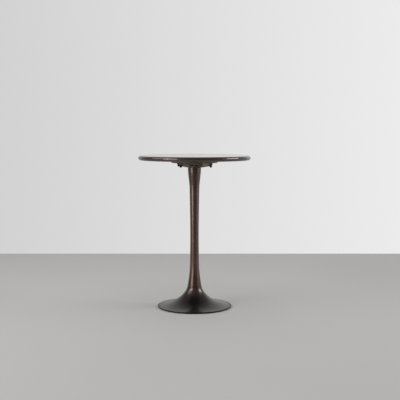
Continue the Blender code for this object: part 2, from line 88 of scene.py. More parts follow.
BOLTS = Circle(0.084, 50.5)
SCREWS = Circle(0.062, 95.5)
PADS = Circle(0.1385, 45.0)
BOLT_HOLE = 0.0033


# Node trees


class Signal:
    """An output socket of a node. Arithmetic on it adds Math nodes to its tree."""

    def __init__(self, graph: "Graph", socket: bpy.types.NodeSocket) -> None:
        """Keeps the tree and the socket."""
        self.graph = graph
        self.socket = socket

    def out(self, name: str) -> "Signal":
        """Gives another output of the same node."""
        return Signal(self.graph, Graph.find(self.socket.node.outputs, name))

    def __add__(self, other: "Operand") -> "Signal":
        """Adds."""
        return self.graph.math("ADD", self, other)

    def __radd__(self, other: "Operand") -> "Signal":
        """Adds, from the left."""
        return self.graph.math("ADD", other, self)

    def __sub__(self, other: "Operand") -> "Signal":
        """Takes away."""
        return self.graph.math("SUBTRACT", self, other)

    def __rsub__(self, other: "Operand") -> "Signal":
        """Is taken away from a number."""
        return self.graph.math("SUBTRACT", other, self)

    def __mul__(self, other: "Operand") -> "Signal":
        """Multiplies."""
        return self.graph.math("MULTIPLY", self, other)

    def __rmul__(self, other: "Operand") -> "Signal":
        """Multiplies, from the left."""
        return self.graph.math("MULTIPLY", other, self)

    def __truediv__(self, other: "Operand") -> "Signal":
        """Divides."""
        return self.graph.math("DIVIDE", self, other)

    def __rtruediv__(self, other: "Operand") -> "Signal":
        """Divides a number."""
        return self.graph.math("DIVIDE", other, self)

    def __pow__(self, other: "Operand") -> "Signal":
        """Raises to a power."""
        return self.graph.math("POWER", self, other)

    def __rpow__(self, other: "Operand") -> "Signal":
        """Is the power of a number."""
        return self.graph.math("POWER", other, self)

    def __abs__(self) -> "Signal":
        """Drops the sign."""
        return self.graph.math("ABSOLUTE", self)


Operand = Signal | float


class Graph:
    """Fills one node tree, of a material, the world or Geometry Nodes."""

    def __init__(self, tree: bpy.types.NodeTree) -> None:
        """Keeps the tree."""
        self.tree = tree

    @staticmethod
    def find(sockets: bpy.types.bpy_prop_collection, key: str | int) -> bpy.types.NodeSocket:
        """Finds a socket in use.

        Args:
            sockets: inputs or outputs of a node.
            key: the socket's name, or its place.

        Returns:
            The socket.
        """
        if isinstance(key, int):
            return sockets[key]
        return next(socket for socket in sockets if socket.name == key and socket.enabled)

    def feed(self, socket: bpy.types.NodeSocket, value: object) -> None:
        """Links a signal to a socket, or sets the socket's own value.

        Args:
            socket: an input of a node.
            value: a signal, or a number, colour, vector or other plain value.
        """
        if isinstance(value, Signal):
            self.tree.links.new(value.socket, socket)
        elif socket.type == "RGBA":
            socket.default_value = (*value[:3], 1.0)
        else:
            socket.default_value = value

    def fill(self, node: bpy.types.Node, inputs: Mapping[str | int, object]) -> None:
        """Feeds several sockets of a node."""
        for key, value in inputs.items():
            self.feed(self.find(node.inputs, key), value)

    def node(
        self,
        kind: str,
        settings: Mapping[str, object] | None = None,
        inputs: Mapping[str | int, object] | None = None,
        output: str | int = 0,
    ) -> Signal:
        """Adds a node.

        Args:
            kind: the node's type.
            settings: its own properties, set before its sockets.
            inputs: values or signals for its sockets, by name or place.
            output: which output to give back.

        Returns:
            The chosen output.
        """
        node = self.tree.nodes.new(kind)
        for key, value in (settings or {}).items():
            setattr(node, key, value)
        self.fill(node, inputs or {})
        return Signal(self, self.find(node.outputs, output))

    def math(self, operation: str, *values: Operand) -> Signal:
        """Adds one Math node."""
        return self.node("ShaderNodeMath", {"operation": operation}, dict(enumerate(values)))

    def split(self, vector: Signal) -> tuple[Signal, Signal, Signal]:
        """Gives the three parts of a vector."""
        parts = self.node("ShaderNodeSeparateXYZ", {}, {"Vector": vector}, "X")
        return parts, parts.out("Y"), parts.out("Z")

    def join(self, x: Operand, y: Operand, z: Operand) -> Signal:
        """Makes a vector of three parts."""
        return self.node("ShaderNodeCombineXYZ", {}, {"X": x, "Y": y, "Z": z})

    def reach(self, x: Signal, y: Signal) -> Signal:
        """Gives the distance from the Z axis."""
        return self.math("SQRT", x * x + y * y)

    def ease(self, value: Signal, low: float, high: float) -> Signal:
        """Rises smoothly from 0 at one value to 1 at another."""
        inputs = {"Value": value, "From Min": low, "From Max": high}
        return self.node("ShaderNodeMapRange", {"interpolation_type": "SMOOTHSTEP"}, inputs)

    def mix(self, share: Operand, first: Signal | Colour, second: Signal | Colour) -> Signal:
        """Mixes two colours."""
        inputs = {"Factor": share, "A": first, "B": second}
        return self.node("ShaderNodeMix", {"data_type": "RGBA", "clamp_factor": True}, inputs, "Result")

    def grain(self, place: Signal, scale: float, detail: float = 3.0, roughness: float = 0.5) -> Signal:
        """Gives a noise from 0 to 1 at a place, with its scale in waves to the metre."""
        inputs = {"Vector": place, "Scale": scale, "Detail": detail, "Roughness": roughness}
        return self.node("ShaderNodeTexNoise", {}, inputs, "Fac")

    def stripes(self, along: Signal, scale: float, detail: float) -> Signal:
        """Gives a noise from 0 to 1 that changes along one length only."""
        inputs = {"W": along, "Scale": scale, "Detail": detail}
        return self.node("ShaderNodeTexNoise", {"noise_dimensions": "1D"}, inputs, "Fac")

    def stretched(self, place: Signal, factors: tuple[float, float, float]) -> Signal:
        """Scales a place differently along each axis."""
        return self.node("ShaderNodeVectorMath", {"operation": "MULTIPLY"}, {0: place, 1: factors})

    def relief(self, height: Signal, depth: float) -> Signal:
        """Turns a height from 0 to 1 into a normal."""
        return self.node("ShaderNodeBump", {}, {"Strength": 1.0, "Distance": depth, "Height": height})


class GeometryTree(Graph):
    """A Geometry Nodes tree with named inputs, which gives plain meshes."""

    def __init__(self, name: str) -> None:
        """Starts the tree with a geometry in and out.

        Args:
            name: name of the tree.
        """
        super().__init__(bpy.data.node_groups.new(name, "GeometryNodeTree"))
        self.tree.interface.new_socket("Geometry", in_out="OUTPUT", socket_type="NodeSocketGeometry")
        self.entry = self.tree.nodes.new("NodeGroupInput")
        self.source = self.ask("Geometry", "NodeSocketGeometry")

    def ask(self, name: str, kind: str = "NodeSocketFloat") -> Signal:
        """Adds a named input."""
        self.tree.interface.new_socket(name, in_out="INPUT", socket_type=kind)
        return Signal(self, self.find(self.entry.outputs, name))

    def ask_all(self, *names: str) -> list[Signal]:
        """Adds several named inputs for plain numbers."""
        return [self.ask(name) for name in names]

    def unit_grid(self) -> tuple[Signal, Signal, Signal]:
        """Adds a grid of unit size, with inputs for its columns and rows of points.

        Returns:
            The grid, and each point's share from 0 to 1 along both sides.
        """
        columns = self.ask("Columns", "NodeSocketInt")
        rows = self.ask("Rows", "NodeSocketInt")
        sizes = {"Size X": 1.0, "Size Y": 1.0, "Vertices X": columns, "Vertices Y": rows}
        grid = self.node("GeometryNodeMeshGrid", {}, sizes)
        x, y, _ = self.split(self.node("GeometryNodeInputPosition"))
        return grid, x + 0.5, y + 0.5

    def wrap(self, grid: Signal, share: Signal, radius: Signal, level: Signal) -> Signal:
        """Rolls a grid round the Z axis and welds its seam.

        Args:
            grid: the flat grid.
            share: each point's share of a full turn.
            radius: each point's distance from the axis.
            level: each point's height.

        Returns:
            The rolled grid.
        """
        angle = share * FULL_TURN
        place = self.join(radius * self.math("COSINE", angle), radius * self.math("SINE", angle), level)
        rolled = self.node("GeometryNodeSetPosition", {}, {"Geometry": grid, "Position": place})
        seam = {"Geometry": rolled, "Distance": MERGE_DISTANCE}
        return self.node("GeometryNodeMergeByDistance", {}, seam)

    def close(self, shape: Signal) -> None:
        """Ends the tree with a plain geometry that has its finish.

        Args:
            shape: the geometry that the tree has made.
        """
        finish = self.ask("Finish", "NodeSocketMaterial")
        plain = self.node("GeometryNodeRealizeInstances", {}, {"Geometry": shape})
        dressed = self.node("GeometryNodeSetMaterial", {}, {"Geometry": plain, "Material": finish})
        end = self.tree.nodes.new("NodeGroupOutput")
        self.feed(end.inputs["Geometry"], dressed)

    def make(
        self, name: str, sizes: Mapping[str, object], source: bpy.types.Mesh | None = None
    ) -> bpy.types.Mesh:
        """Runs the tree once.

        Args:
            name: name of the mesh.
            sizes: values of the named inputs.
            source: mesh that goes in, where the tree takes one.

        Returns:
            The result as a plain mesh.
        """
        holder = placed(name, source or bpy.data.meshes.new(name))
        modifier = holder.modifiers.new(self.tree.name, "NODES")
        modifier.node_group = self.tree
        for item in self.tree.interface.items_tree:
            if item.in_out == "INPUT" and item.name in sizes:
                modifier[item.identifier] = sizes[item.name]
        return taken(holder)


class FastenerRing(GeometryTree):
    """Sets copies of one fastener evenly round the table's axis."""

    def __init__(self) -> None:
        """Builds the tree."""
        super().__init__("fastener_ring")
        count = self.ask("Count", "NodeSocketInt")
        radius, turn = self.ask_all("Circle Radius", "First Turn")
        circle = self.node("GeometryNodeMeshCircle", {}, {"Vertices": count, "Radius": radius})
        angle = self.node("GeometryNodeInputIndex") * FULL_TURN / count
        inputs = {"Points": circle, "Instance": self.source, "Rotation": self.about_z(angle)}
        copies = self.node("GeometryNodeInstanceOnPoints", {}, inputs)
        turned = {"Geometry": copies, "Rotation": self.about_z(turn)}
        self.close(self.node("GeometryNodeTransform", {}, turned))

    def about_z(self, angle: Signal) -> Signal:
        """Makes a rotation about the Z axis."""
        inputs = {"Axis": (0.0, 0.0, 1.0), "Angle": angle}
        return self.node("FunctionNodeAxisAngleToRotation", {}, inputs)

    def set_out(self, name: str, fastener: bpy.types.Mesh, circle: Circle) -> bpy.types.Mesh:
        """Sets a fastener out round a circle.

        Args:
            name: name of the mesh.
            fastener: one fastener, which stands on the Z axis.
            circle: where its copies go.

        Returns:
            All the copies as one mesh.
        """
        turn = math.radians(circle.first)
        sizes = {"Count": circle.count, "Circle Radius": circle.radius, "First Turn": turn}
        return self.make(name, sizes, fastener)


class SpringCoil(GeometryTree):
    """Sweeps a square section along one turn of a spiral, as a split lock washer is wound."""

    POINTS = 56
    CORNER = 0.14
    CORNER_POINTS = 2

    def __init__(self) -> None:
        """Builds the tree."""
        super().__init__("spring_coil")
        names = ("Mean Radius", "Section Width", "Section Height", "Rise", "Level", "Turns")
        radius, width, height, rise, level, turns = self.ask_all(*names)
        run = {"Resolution": self.POINTS, "Rotations": turns, "Height": rise}
        run |= {"Start Radius": radius, "End Radius": radius}
        spiral = self.node("GeometryNodeCurveSpiral", {}, run)
        path = self.node("GeometryNodeSetCurveNormal", {"mode": "Z_UP"}, {"Curve": spiral})
        sides = {"Width": width, "Height": height}
        square = self.node("GeometryNodeCurvePrimitiveQuadrilateral", {}, sides)
        corners = {"Curve": square, "Radius": width * self.CORNER, "Count": self.CORNER_POINTS}
        section = self.node("GeometryNodeFilletCurve", {"mode": "POLY"}, corners)
        sweep = {"Curve": path, "Profile Curve": section, "Fill Caps": True}
        coil = self.node("GeometryNodeCurveToMesh", {}, sweep)
        lifted = {"Geometry": coil, "Translation": self.join(0.0, 0.0, level)}
        self.close(self.node("GeometryNodeTransform", {}, lifted))

    def wind(
        self, name: str, radii: Point, low: float, height: float, rise: float, turns: float, room: float
    ) -> bpy.types.Mesh:
        """Winds a lock washer.

        Args:
            name: name of the mesh.
            radii: inner and outer radius of its place.
            low: its lower level.
            height: its height over both ends.
            rise: how far its upper end stands over the lower one.
            turns: the share of a full turn that it fills.
            room: how much narrower than its place it is.

        Returns:
            The lock washer.
        """
        inner, outer = radii
        section = height - rise
        sizes = {
            "Mean Radius": (inner + outer) / 2,
            "Section Width": outer - inner - room,
            "Section Height": section,
            "Rise": rise,
            "Level": low + section / 2,
            "Turns": turns,
        }
        return self.make(name, sizes)


class ScrewThread(GeometryTree):
    """A cylinder wall with a helical thread that fades out at both ends."""

    STEEPNESS = 1.25

    def __init__(self) -> None:
        """Builds the tree."""
        super().__init__("screw_thread")
        names = ("Low Level", "High Level", "Outer Radius", "Depth", "Pitch")
        low, high, outer, depth, pitch = self.ask_all(*names)
        grid, around, along = self.unit_grid()
        level = low + (high - low) * along
        wave = abs(self.math("FRACT", level / pitch - around) * 2.0 - 1.0)
        flank = self.math("MINIMUM", wave * self.STEEPNESS, 1.0)
        ends = self.math("MINIMUM", (level - low) / pitch, (high - level) / pitch)
        fade = self.math("MINIMUM", ends, 1.0)
        radius = outer - depth * (1.0 - flank) * fade
        self.close(self.wrap(grid, around, radius, level))


class ColumnWall(GeometryTree):
    """Outer wall of the column: a waist, a swelling shaft, an eased flare above, a curved flare below."""

    def __init__(self) -> None:
        """Builds the tree from the column's rule."""
        super().__init__("column_wall")
        foot, top, waist_level = self.ask_all("Foot Level", "Top Level", "Waist Level")
        waist, shaft_radius = self.ask_all("Waist Radius", "Shaft Top Radius")
        top_radius, foot_radius = self.ask_all("Top Radius", "Foot Radius")
        top_flare, foot_flare = self.ask_all("Top Flare", "Foot Flare")
        swell_power, flare_power, arris = self.ask_all("Swell Power", "Flare Power", "Arris")

        grid, around, along = self.unit_grid()
        level = foot + (top - foot) * (1.0 - self.math("COSINE", along * math.pi)) * 0.5
        shaft_top = top - top_flare
        span = shaft_top - waist_level

        def shaft(height: Signal) -> Signal:
            """Radius of the plain shaft, which swells away from the waist."""
            away = self.math("MINIMUM", abs(height - waist_level) / span, 1.0)
            return waist + (shaft_radius - waist) * away**swell_power

        head = (top_radius - shaft_radius) * self.ease((level - shaft_top) / top_flare, 0.0, 1.0)
        below = self.math("MAXIMUM", foot + foot_flare - level, 0.0) / foot_flare
        flare = (foot_radius - shaft(foot)) * below**flare_power
        nearest = self.math("MINIMUM", level - foot, top - level)
        corner = self.math("MAXIMUM", 1.0 - nearest / arris, 0.0)
        hollow = self.math("MAXIMUM", 1.0 - corner * corner, 0.0)
        rounding = arris * (1.0 - self.math("SQRT", hollow))
        self.close(self.wrap(grid, around, shaft(level) + head + flare - rounding, level))


# Meshes


def placed(name: str, data: bpy.types.ID) -> bpy.types.Object:
    """Makes an object and puts it in the scene.

    Args:
        name: name of the object.
        data: its mesh, lamp or camera.

    Returns:
        The object.
    """
    item = bpy.data.objects.new(name, data)
    bpy.context.scene.collection.objects.link(item)
    return item


def taken(holder: bpy.types.Object) -> bpy.types.Mesh:
    """Takes an object's evaluated shape and removes the object.

    Args:
        holder: an object with modifiers.

    Returns:
        Its shape as a plain mesh.
    """
    state = bpy.context.evaluated_depsgraph_get()
    mesh = bpy.data.meshes.new_from_object(holder.evaluated_get(state))
    bpy.data.objects.remove(holder, do_unlink=True)
    return mesh


def spin(name: str, rings: Sequence[Ring], sides: int, closed: bool = False) -> bpy.types.Mesh:
    """Lofts a skin over rings about the Z axis.

    Args:
        name: name of the mesh.
        rings: (radius, level) of each ring, or a rule that gives them at an angle; a ring of no
            radius becomes a pole.
        sides: points in each ring.
        closed: whether the last ring joins the first.

    Returns:
        The lofted mesh.
    """
    points: list[tuple[float, float, float]] = []
    rows: list[list[int]] = []
    for ring in rings:
        first = len(points)
        if not callable(ring) and ring[0] < POLE_RADIUS:
            points.append((0.0, 0.0, ring[1]))
            rows.append([first] * sides)
            continue
        for step in range(sides):
            angle = FULL_TURN * step / sides
            radius, level = ring(angle) if callable(ring) else ring
            points.append((radius * math.cos(angle), radius * math.sin(angle), level))
        rows.append(list(range(first, first + sides)))
    pairs = list(zip(rows, rows[1:]))
    if closed:
        pairs.append((rows[-1], rows[0]))
    faces = []
    for upper, lower in pairs:
        for step in range(sides):
            after = (step + 1) % sides
            corners = dict.fromkeys((upper[step], lower[step], lower[after], upper[after]))
            if len(corners) > 2:
                faces.append(tuple(corners))
    mesh = bpy.data.meshes.new(name)
    mesh.from_pydata(points, [], faces)
    return weld(name, [mesh])


def weld(name: str, meshes: Sequence[bpy.types.Mesh]) -> bpy.types.Mesh:
    """Joins meshes into one, merges points that meet and turns all faces outwards.

    Args:
        name: name of the new mesh.
        meshes: the meshes, which are used up.

    Returns:
        The joined mesh.
    """
    shape = bmesh.new()
    for mesh in meshes:
        shape.from_mesh(mesh)
    bmesh.ops.remove_doubles(shape, verts=shape.verts, dist=MERGE_DISTANCE)
    bmesh.ops.recalc_face_normals(shape, faces=shape.faces)
    joined = bpy.data.meshes.new(name)
    shape.to_mesh(joined)
    shape.free()
    for mesh in meshes:
        bpy.data.meshes.remove(mesh)
    return joined


def cut(mesh: bpy.types.Mesh, cutter: bpy.types.Mesh) -> bpy.types.Mesh:
    """Takes one closed mesh out of another.

    Args:
        mesh: the mesh that is cut.
        cutter: the mesh that is taken out of it.

    Returns:
        What is left.
    """
    target = placed(mesh.name, mesh)
    tool = placed(cutter.name, cutter)
    modifier = target.modifiers.new("cut", "BOOLEAN")
    modifier.operation = "DIFFERENCE"
    modifier.solver = "EXACT"
    modifier.object = tool
    result = taken(target)
    bpy.data.objects.remove(tool, do_unlink=True)
    return result


def arc(centre: Point, radius: float, start: float, end: float, steps: int) -> list[Point]:
    """Gives points along an arc, in degrees from the outward direction."""
    turns = [math.radians(start + (end - start) * step / steps) for step in range(steps + 1)]
    return [(centre[0] + radius * math.cos(turn), centre[1] + radius * math.sin(turn)) for turn in turns]


def eased(points: Sequence[Point], size: float, steps: int = 4, closed: bool = False) -> list[Point]:
    """Rounds the corners of a profile.

    Args:
        points: corners of the profile.
        size: how far from a corner its rounding starts.
        steps: pieces of each rounding.
        closed: whether the profile joins its start, so that its ends are corners too.

    Returns:
        The rounded profile.
    """
    result: list[Point] = []
    count = len(points)
    for index, point in enumerate(points):
        if not closed and index in (0, count - 1):
            result.append(point)
            continue
        corner = Vector(point)
        before = Vector(points[index - 1]) - corner
        after = Vector(points[(index + 1) % count]) - corner
        start = corner + before.normalized() * min(size, before.length * LARGEST_EASE)
        end = corner + after.normalized() * min(size, after.length * LARGEST_EASE)
        for step in range(steps + 1):
            share = step / steps
            place = start * (1 - share) ** 2 + corner * 2 * share * (1 - share) + end * share**2
            result.append((place.x, place.y))
    return result


def smooth_step(share: float) -> float:
    """Eases from 0 to 1."""
    share = min(max(share, 0.0), 1.0)
    return share * share * (3.0 - 2.0 * share)


def bell(value: float, centre: float, width: float) -> float:
    """Peaks at 1 in the centre and falls off either side."""
    return math.exp(-(((value - centre) / width) ** 2))


def polygon(sides: int, apothem: float, level: float) -> Ring:
    """Gives a ring in the shape of a regular polygon.

    Args:
        sides: number of its sides.
        apothem: distance to its flats.
        level: its height.

    Returns:
        The ring's rule.
    """
    sector = FULL_TURN / sides

    def rule(angle: float) -> Point:
        """Radius of the polygon at an angle."""
        return apothem / math.cos((angle + sector / 2) % sector - sector / 2), level

    return rule


def chamfered(flat: float, face: float, end: float, sign: float) -> Ring:
    """Gives the edge where the flats of a hexagon meet its chamfer.

    Args:
        flat: distance to the flats.
        face: radius of the round end face.
        end: level of that face.
        sign: 1 where the hexagon lies above it, -1 where it lies below.

    Returns:
        A ring that lies further from the end face at the corners.
    """
    hexagon = polygon(6, flat, 0.0)
    slant = sign * math.tan(HEXAGON_CHAMFER)

    def rule(angle: float) -> Point:
        """Radius and level of the edge at an angle."""
        reach = hexagon(angle)[0]
        return reach, end + slant * (reach - face)

    return rule


def flat_ring(name: str, radii: Point, levels: Point, arris: float, sides: int) -> bpy.types.Mesh:
    """Turns a flat ring with eased edges.

    Args:
        name: name of the mesh.
        radii: inner and outer radius.
        levels: lower and upper level.
        arris: rounding of the edges.
        sides: points round the ring.

    Returns:
        The ring.
    """
    (inner, outer), (low, high) = radii, levels
    corners = [(outer, high), (outer, low), (inner, low), (inner, high)]
    return spin(name, eased(corners, arris, steps=3, closed=True), sides, closed=True)


def mark_wear(mesh: bpy.types.Mesh, rule: Callable[[float, float], float]) -> None:
    """Stores where a piece is rubbed, from 0 to 1, by distance from the axis and level."""
    layer = mesh.attributes.new(WEAR, "FLOAT", "POINT")
    layer.data.foreach_set("value", [rule(math.hypot(v.co.x, v.co.y), v.co.z) for v in mesh.vertices])


def set_piece(
    name: str, mesh: bpy.types.Mesh, finish: bpy.types.Material, nodes: Sequence[str]
) -> None:
    """Puts a finished mesh on the table in place of its solids.

    Args:
        name: name of the piece.
        mesh: its finished mesh.
        finish: its material.
        nodes: solids that it stands for.
    """
    mesh.name = name
    mesh.materials.clear()
    mesh.materials.append(finish)
    mesh.shade_smooth()
    mesh.set_sharp_from_angle(angle=SHARP_ANGLE)
    piece = placed(name, mesh)
    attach(piece, BODY)
    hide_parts(*nodes)
    LOG.info("%s: %d faces in %s, for %s", name, len(mesh.polygons), finish.name, ", ".join(nodes))


def numbered(stem: str, circle: Circle) -> list[str]:
    """Names the solids of a circle of fasteners."""
    return [f"{stem}_{number}" for number in range(1, circle.count + 1)]


# Finishes


@dataclass(frozen=True)
class Finish:
    """A finish, made once as a material.

    Attributes:
        name: name of the material.
    """

    name: str

    def material(self) -> bpy.types.Material:
        """Makes the material.

        Returns:
            A new material with this finish on its shader.
        """
        material = bpy.data.materials.new(self.name)
        material.use_nodes = True
        self.paint(Graph(material.node_tree), material.node_tree.nodes["Principled BSDF"])
        return material

    def paint(self, graph: Graph, shader: bpy.types.Node) -> None:
        """Lays the finish on the shader."""
        raise NotImplementedError

    @staticmethod
    def place(graph: Graph) -> Signal:
        """Gives the place on the piece, in metres."""
        return graph.node("ShaderNodeTexCoord", output="Object")

    @staticmethod
    def wear(graph: Graph) -> Signal:
        """Gives how much the place is rubbed."""
        return graph.node("ShaderNodeAttribute", {"attribute_name": WEAR}, output="Fac")


class Grain(Enum):
    """How a bronze piece was worked, which sets the run of its fine marks."""

    SPUN = "rings over a sheet"
    TURNED = "rings up a shaft, with drawn streaks"
    CAST = "a fine pebble under faint rings"


@dataclass(frozen=True)
class BronzeLacquer(Finish):
    """Dark bronze under a satin lacquer, clouded, marked by its making and rubbed on its edges, with
    painted shade near the floor where it is dulled.

    Attributes:
        grain: how the piece was worked.
        deep: darkest tone of the metal.
        tone: usual tone of the metal.
        warm: reddish tone of the mottling.
        rubbed: tone where the lacquer is rubbed thin.
        roughness: mean roughness of the metal.
        lacquer: weight of the lacquer.
        lacquer_roughness: roughness of the lacquer.
        lacquer_index: refractive index of the lacquer.
        mark_depth: depth of the fine marks.
        dull: tone where the lacquer has dulled.
        dull_lacquer: weight of the lacquer there.
        dull_from: distance from the axis where it starts to be dull.
        dull_to: distance from the axis where it is fully dull, or 0 where it never is.
        dull_waver: how far those distances waver.
        foot_shade: level over the floor below which a dulled piece is dark and matt, as painted shade on
            its rim's low side.
        foot_shade_tone: tone of that painted shade.
        foot_shade_fade: how far the painted shade fades below and above its level.
    """

    grain: Grain
    deep: Colour
    tone: Colour
    warm: Colour
    rubbed: Colour = (0.270, 0.190, 0.140)
    roughness: float = 0.40
    lacquer: float = 1.0
    lacquer_roughness: float = 0.16
    lacquer_index: float = 1.5
    mark_depth: float = 0.000004
    dull: Colour = (0.036, 0.033, 0.032)
    dull_lacquer: float = 0.3
    dull_from: float = 0.0
    dull_to: float = 0.0
    dull_waver: float = 0.004
    foot_shade: float = 0.0
    foot_shade_tone: Colour = (0.008, 0.007, 0.0065)
    foot_shade_fade: Point = (0.0006, 0.0002)

    def marks(self, graph: Graph, place: Signal) -> Signal:
        """Gives the fine marks of the making.

        Args:
            graph: tree of the material.
            place: place on the piece.

        Returns:
            The height of the marks, from 0 to 1.
        """
        x, y, z = graph.split(place)
        reach = graph.reach(x, y)
        if self.grain is Grain.SPUN:
            rings = graph.stripes(reach + z, 700.0, 3.0)
            return rings * 0.75 + graph.grain(place, 900.0, 2.0) * 0.25
        if self.grain is Grain.TURNED:
            streaks = graph.grain(graph.stretched(place, (260.0, 260.0, 5.0)), 1.0, 4.0, 0.6)
            return graph.stripes(z, 620.0, 3.0) * 0.5 + streaks * 0.5
        pebble = graph.grain(place, 520.0, 3.0, 0.6)
        return graph.stripes(reach + z, 420.0, 2.0) * 0.25 + pebble * 0.75

    def paint(self, graph: Graph, shader: bpy.types.Node) -> None:
        """Lays clouded bronze, its marks and its rubbed edges on the shader.

        Args:
            graph: tree of the material.
            shader: its shader.
        """
        place = self.place(graph)
        cloud = graph.grain(place, 13.0, 4.0, 0.55)
        mottle = graph.grain(place, 110.0, 5.0, 0.62)
        marks = self.marks(graph, place)
        scuffs = graph.ease(graph.grain(place, 340.0, 5.0, 0.65), 0.42, 0.68)
        rub = self.wear(graph) * (0.25 + 0.75 * scuffs)
        metal = graph.mix(graph.ease(cloud, 0.3, 0.7), self.deep, self.tone)
        metal = graph.mix(graph.ease(mottle, 0.48, 0.74) * 0.45, metal, self.warm)
        metal = graph.mix(graph.ease(marks, 0.58, 0.9) * 0.25, metal, self.deep)
        lacquer = self.lacquer - rub * 0.5
        if self.dull_to:
            x, y, z = graph.split(place)
            reach = graph.reach(x, y) + (cloud - 0.5) * self.dull_waver
            dulled = graph.ease(reach, self.dull_from, self.dull_to)
            metal = graph.mix(dulled * (0.75 + 0.25 * cloud), metal, self.dull)
            lacquer = lacquer + (self.dull_lacquer - self.lacquer) * dulled
            # Painted shade: below a level over the floor the dulled metal darkens and loses its lacquer,
            # for the shade on the rim's low side.
            below, over = self.foot_shade_fade
            level = z + (mottle - 0.5) * below
            painted_shade = 1.0 - graph.ease(level, self.foot_shade - below, self.foot_shade + over)
            metal = graph.mix(painted_shade * 0.9, metal, self.foot_shade_tone)
            lacquer = lacquer * (1.0 - 0.95 * painted_shade)
        smudge = graph.ease(graph.grain(place, 31.0, 2.0, 0.4), 0.5, 0.75)
        roughness = self.roughness + (cloud - 0.5) * 0.10 + (marks - 0.5) * 0.10
        roughness = roughness + smudge * 0.05 - rub * 0.06
        graph.fill(
            shader,
            {
                "Base Color": graph.mix(rub, metal, self.rubbed),
                "Metallic": 1.0,
                "Roughness": roughness,
                "Coat Weight": lacquer,
                "Coat Roughness": self.lacquer_roughness,
                "Coat IOR": self.lacquer_index,
                "Normal": graph.relief(marks, self.mark_depth),
            },
        )


@dataclass(frozen=True)
class RawCasting(Finish):
    """Olive-grey cast metal, left as it came from the sand, with its hub lacquered like the column.

    The hub's bronze is lighter than the column's, as painted light, and the dark lacquer film
    reaches further along the right-hand arms than the left, partly as painted shade.

    Attributes:
        pale: tone of the high grains.
        dull: tone of the skin.
        stain: tone of the stains.
        bronze: tone of the lacquered tower, lighter than the column's bronze as painted light on the hub.
        film: tone of the thin lacquer round it, which darkens the arms' roots partly as painted shade.
        tower: radius of the tower.
        hub: radius to which the lacquer reaches.
        overspray_and_shade_drift: how much further the lacquer reaches to the right: overspray and
            painted shade.
        fade: how far the lacquer fades on either side of its edge.
        lacquer_roughness: roughness of the lacquer.
        depth: depth of the skin's relief.
    """

    pale: Colour = (0.380, 0.335, 0.245)
    dull: Colour = (0.235, 0.205, 0.145)
    stain: Colour = (0.115, 0.080, 0.046)
    bronze: Colour = (0.230, 0.163, 0.115)
    film: Colour = (0.112, 0.078, 0.054)
    tower: float = 0.0215
    hub: float = 0.0350
    overspray_and_shade_drift: float = 0.35
    fade: float = 0.0006
    lacquer_roughness: float = 0.18
    depth: float = 0.00016

    def paint(self, graph: Graph, shader: bpy.types.Node) -> None:
        """Lays a pitted skin with stains on the shader, and lacquer on the hub.

        Args:
            graph: tree of the material.
            shader: its shader.
        """
        place = self.place(graph)
        x, y, _ = graph.split(place)
        sand = graph.grain(place, 950.0, 4.0, 0.65)
        lumps = graph.grain(place, 210.0, 3.0, 0.5)
        cells = {"Vector": place, "Scale": 430.0}
        pits = graph.node("ShaderNodeTexVoronoi", {"feature": "F1"}, cells, "Distance")
        pitted = 1.0 - graph.ease(pits, 0.05, 0.30)
        stains = graph.ease(graph.grain(place, 60.0, 4.0, 0.6), 0.52, 0.72)
        skin = graph.mix(graph.ease(sand, 0.38, 0.66), self.dull, self.pale)
        skin = graph.mix(stains * 0.6, skin, self.stain)
        skin = graph.mix(pitted * 0.5, skin, self.stain)
        radius = graph.reach(x, y)
        # Painted shade: the dark lacquer film reaches further on the right-hand side and darkens those
        # arms' roots; partly overspray.
        reach = radius - self.overspray_and_shade_drift * x + (lumps - 0.5) * 0.003
        lacquer = 1.0 - graph.ease(reach, self.hub - self.fade, self.hub + self.fade)
        # Painted light: the tower's bronze is lighter than the column's, standing in for light on the
        # hub.
        thinned = graph.ease(radius + (lumps - 0.5) * 0.001, self.tower + 0.001, self.tower + 0.004)
        bronze = graph.mix(thinned, self.bronze, self.film)
        bare = 1.0 - lacquer
        height = sand * 0.45 + lumps * 0.55 - pitted * 0.3
        graph.fill(
            shader,
            {
                "Base Color": graph.mix(lacquer, skin, bronze),
                "Metallic": 0.30 - bare * stains * 0.2,
                "Roughness": 0.50 + bare * ((sand - 0.5) * 0.25 + stains * 0.15),
                "Coat Weight": lacquer,
                "Coat Roughness": self.lacquer_roughness,
                "Normal": graph.relief(height * (0.15 + 0.85 * bare), self.depth),
            },
        )


@dataclass(frozen=True)
class BlackOxide(Finish):
    """Blackened steel with a trace of oil and edges rubbed to grey.

    Attributes:
        black: tone of the oxide.
        brown: tone of thin oxide.
        steel: tone of rubbed edges.
        depth: depth of its relief.
    """

    black: Colour = (0.012, 0.012, 0.011)
    brown: Colour = (0.026, 0.021, 0.017)
    steel: Colour = (0.120, 0.115, 0.110)
    depth: float = 0.00002

    def paint(self, graph: Graph, shader: bpy.types.Node) -> None:
        """Lays mottled oxide with rubbed edges on the shader.

        Args:
            graph: tree of the material.
            shader: its shader.
        """
        place = self.place(graph)
        mottle = graph.grain(place, 260.0, 4.0, 0.6)
        fine = graph.grain(place, 2300.0, 2.0)
        rub = self.wear(graph) * graph.ease(fine, 0.42, 0.62)
        oxide = graph.mix(graph.ease(mottle, 0.4, 0.7), self.black, self.brown)
        graph.fill(
            shader,
            {
                "Base Color": graph.mix(rub * 0.7, oxide, self.steel),
                "Metallic": 0.6 + rub * 0.4,
                "Roughness": 0.42 + (mottle - 0.5) * 0.22 + (fine - 0.5) * 0.1,
                "Normal": graph.relief(fine, self.depth),
            },
        )


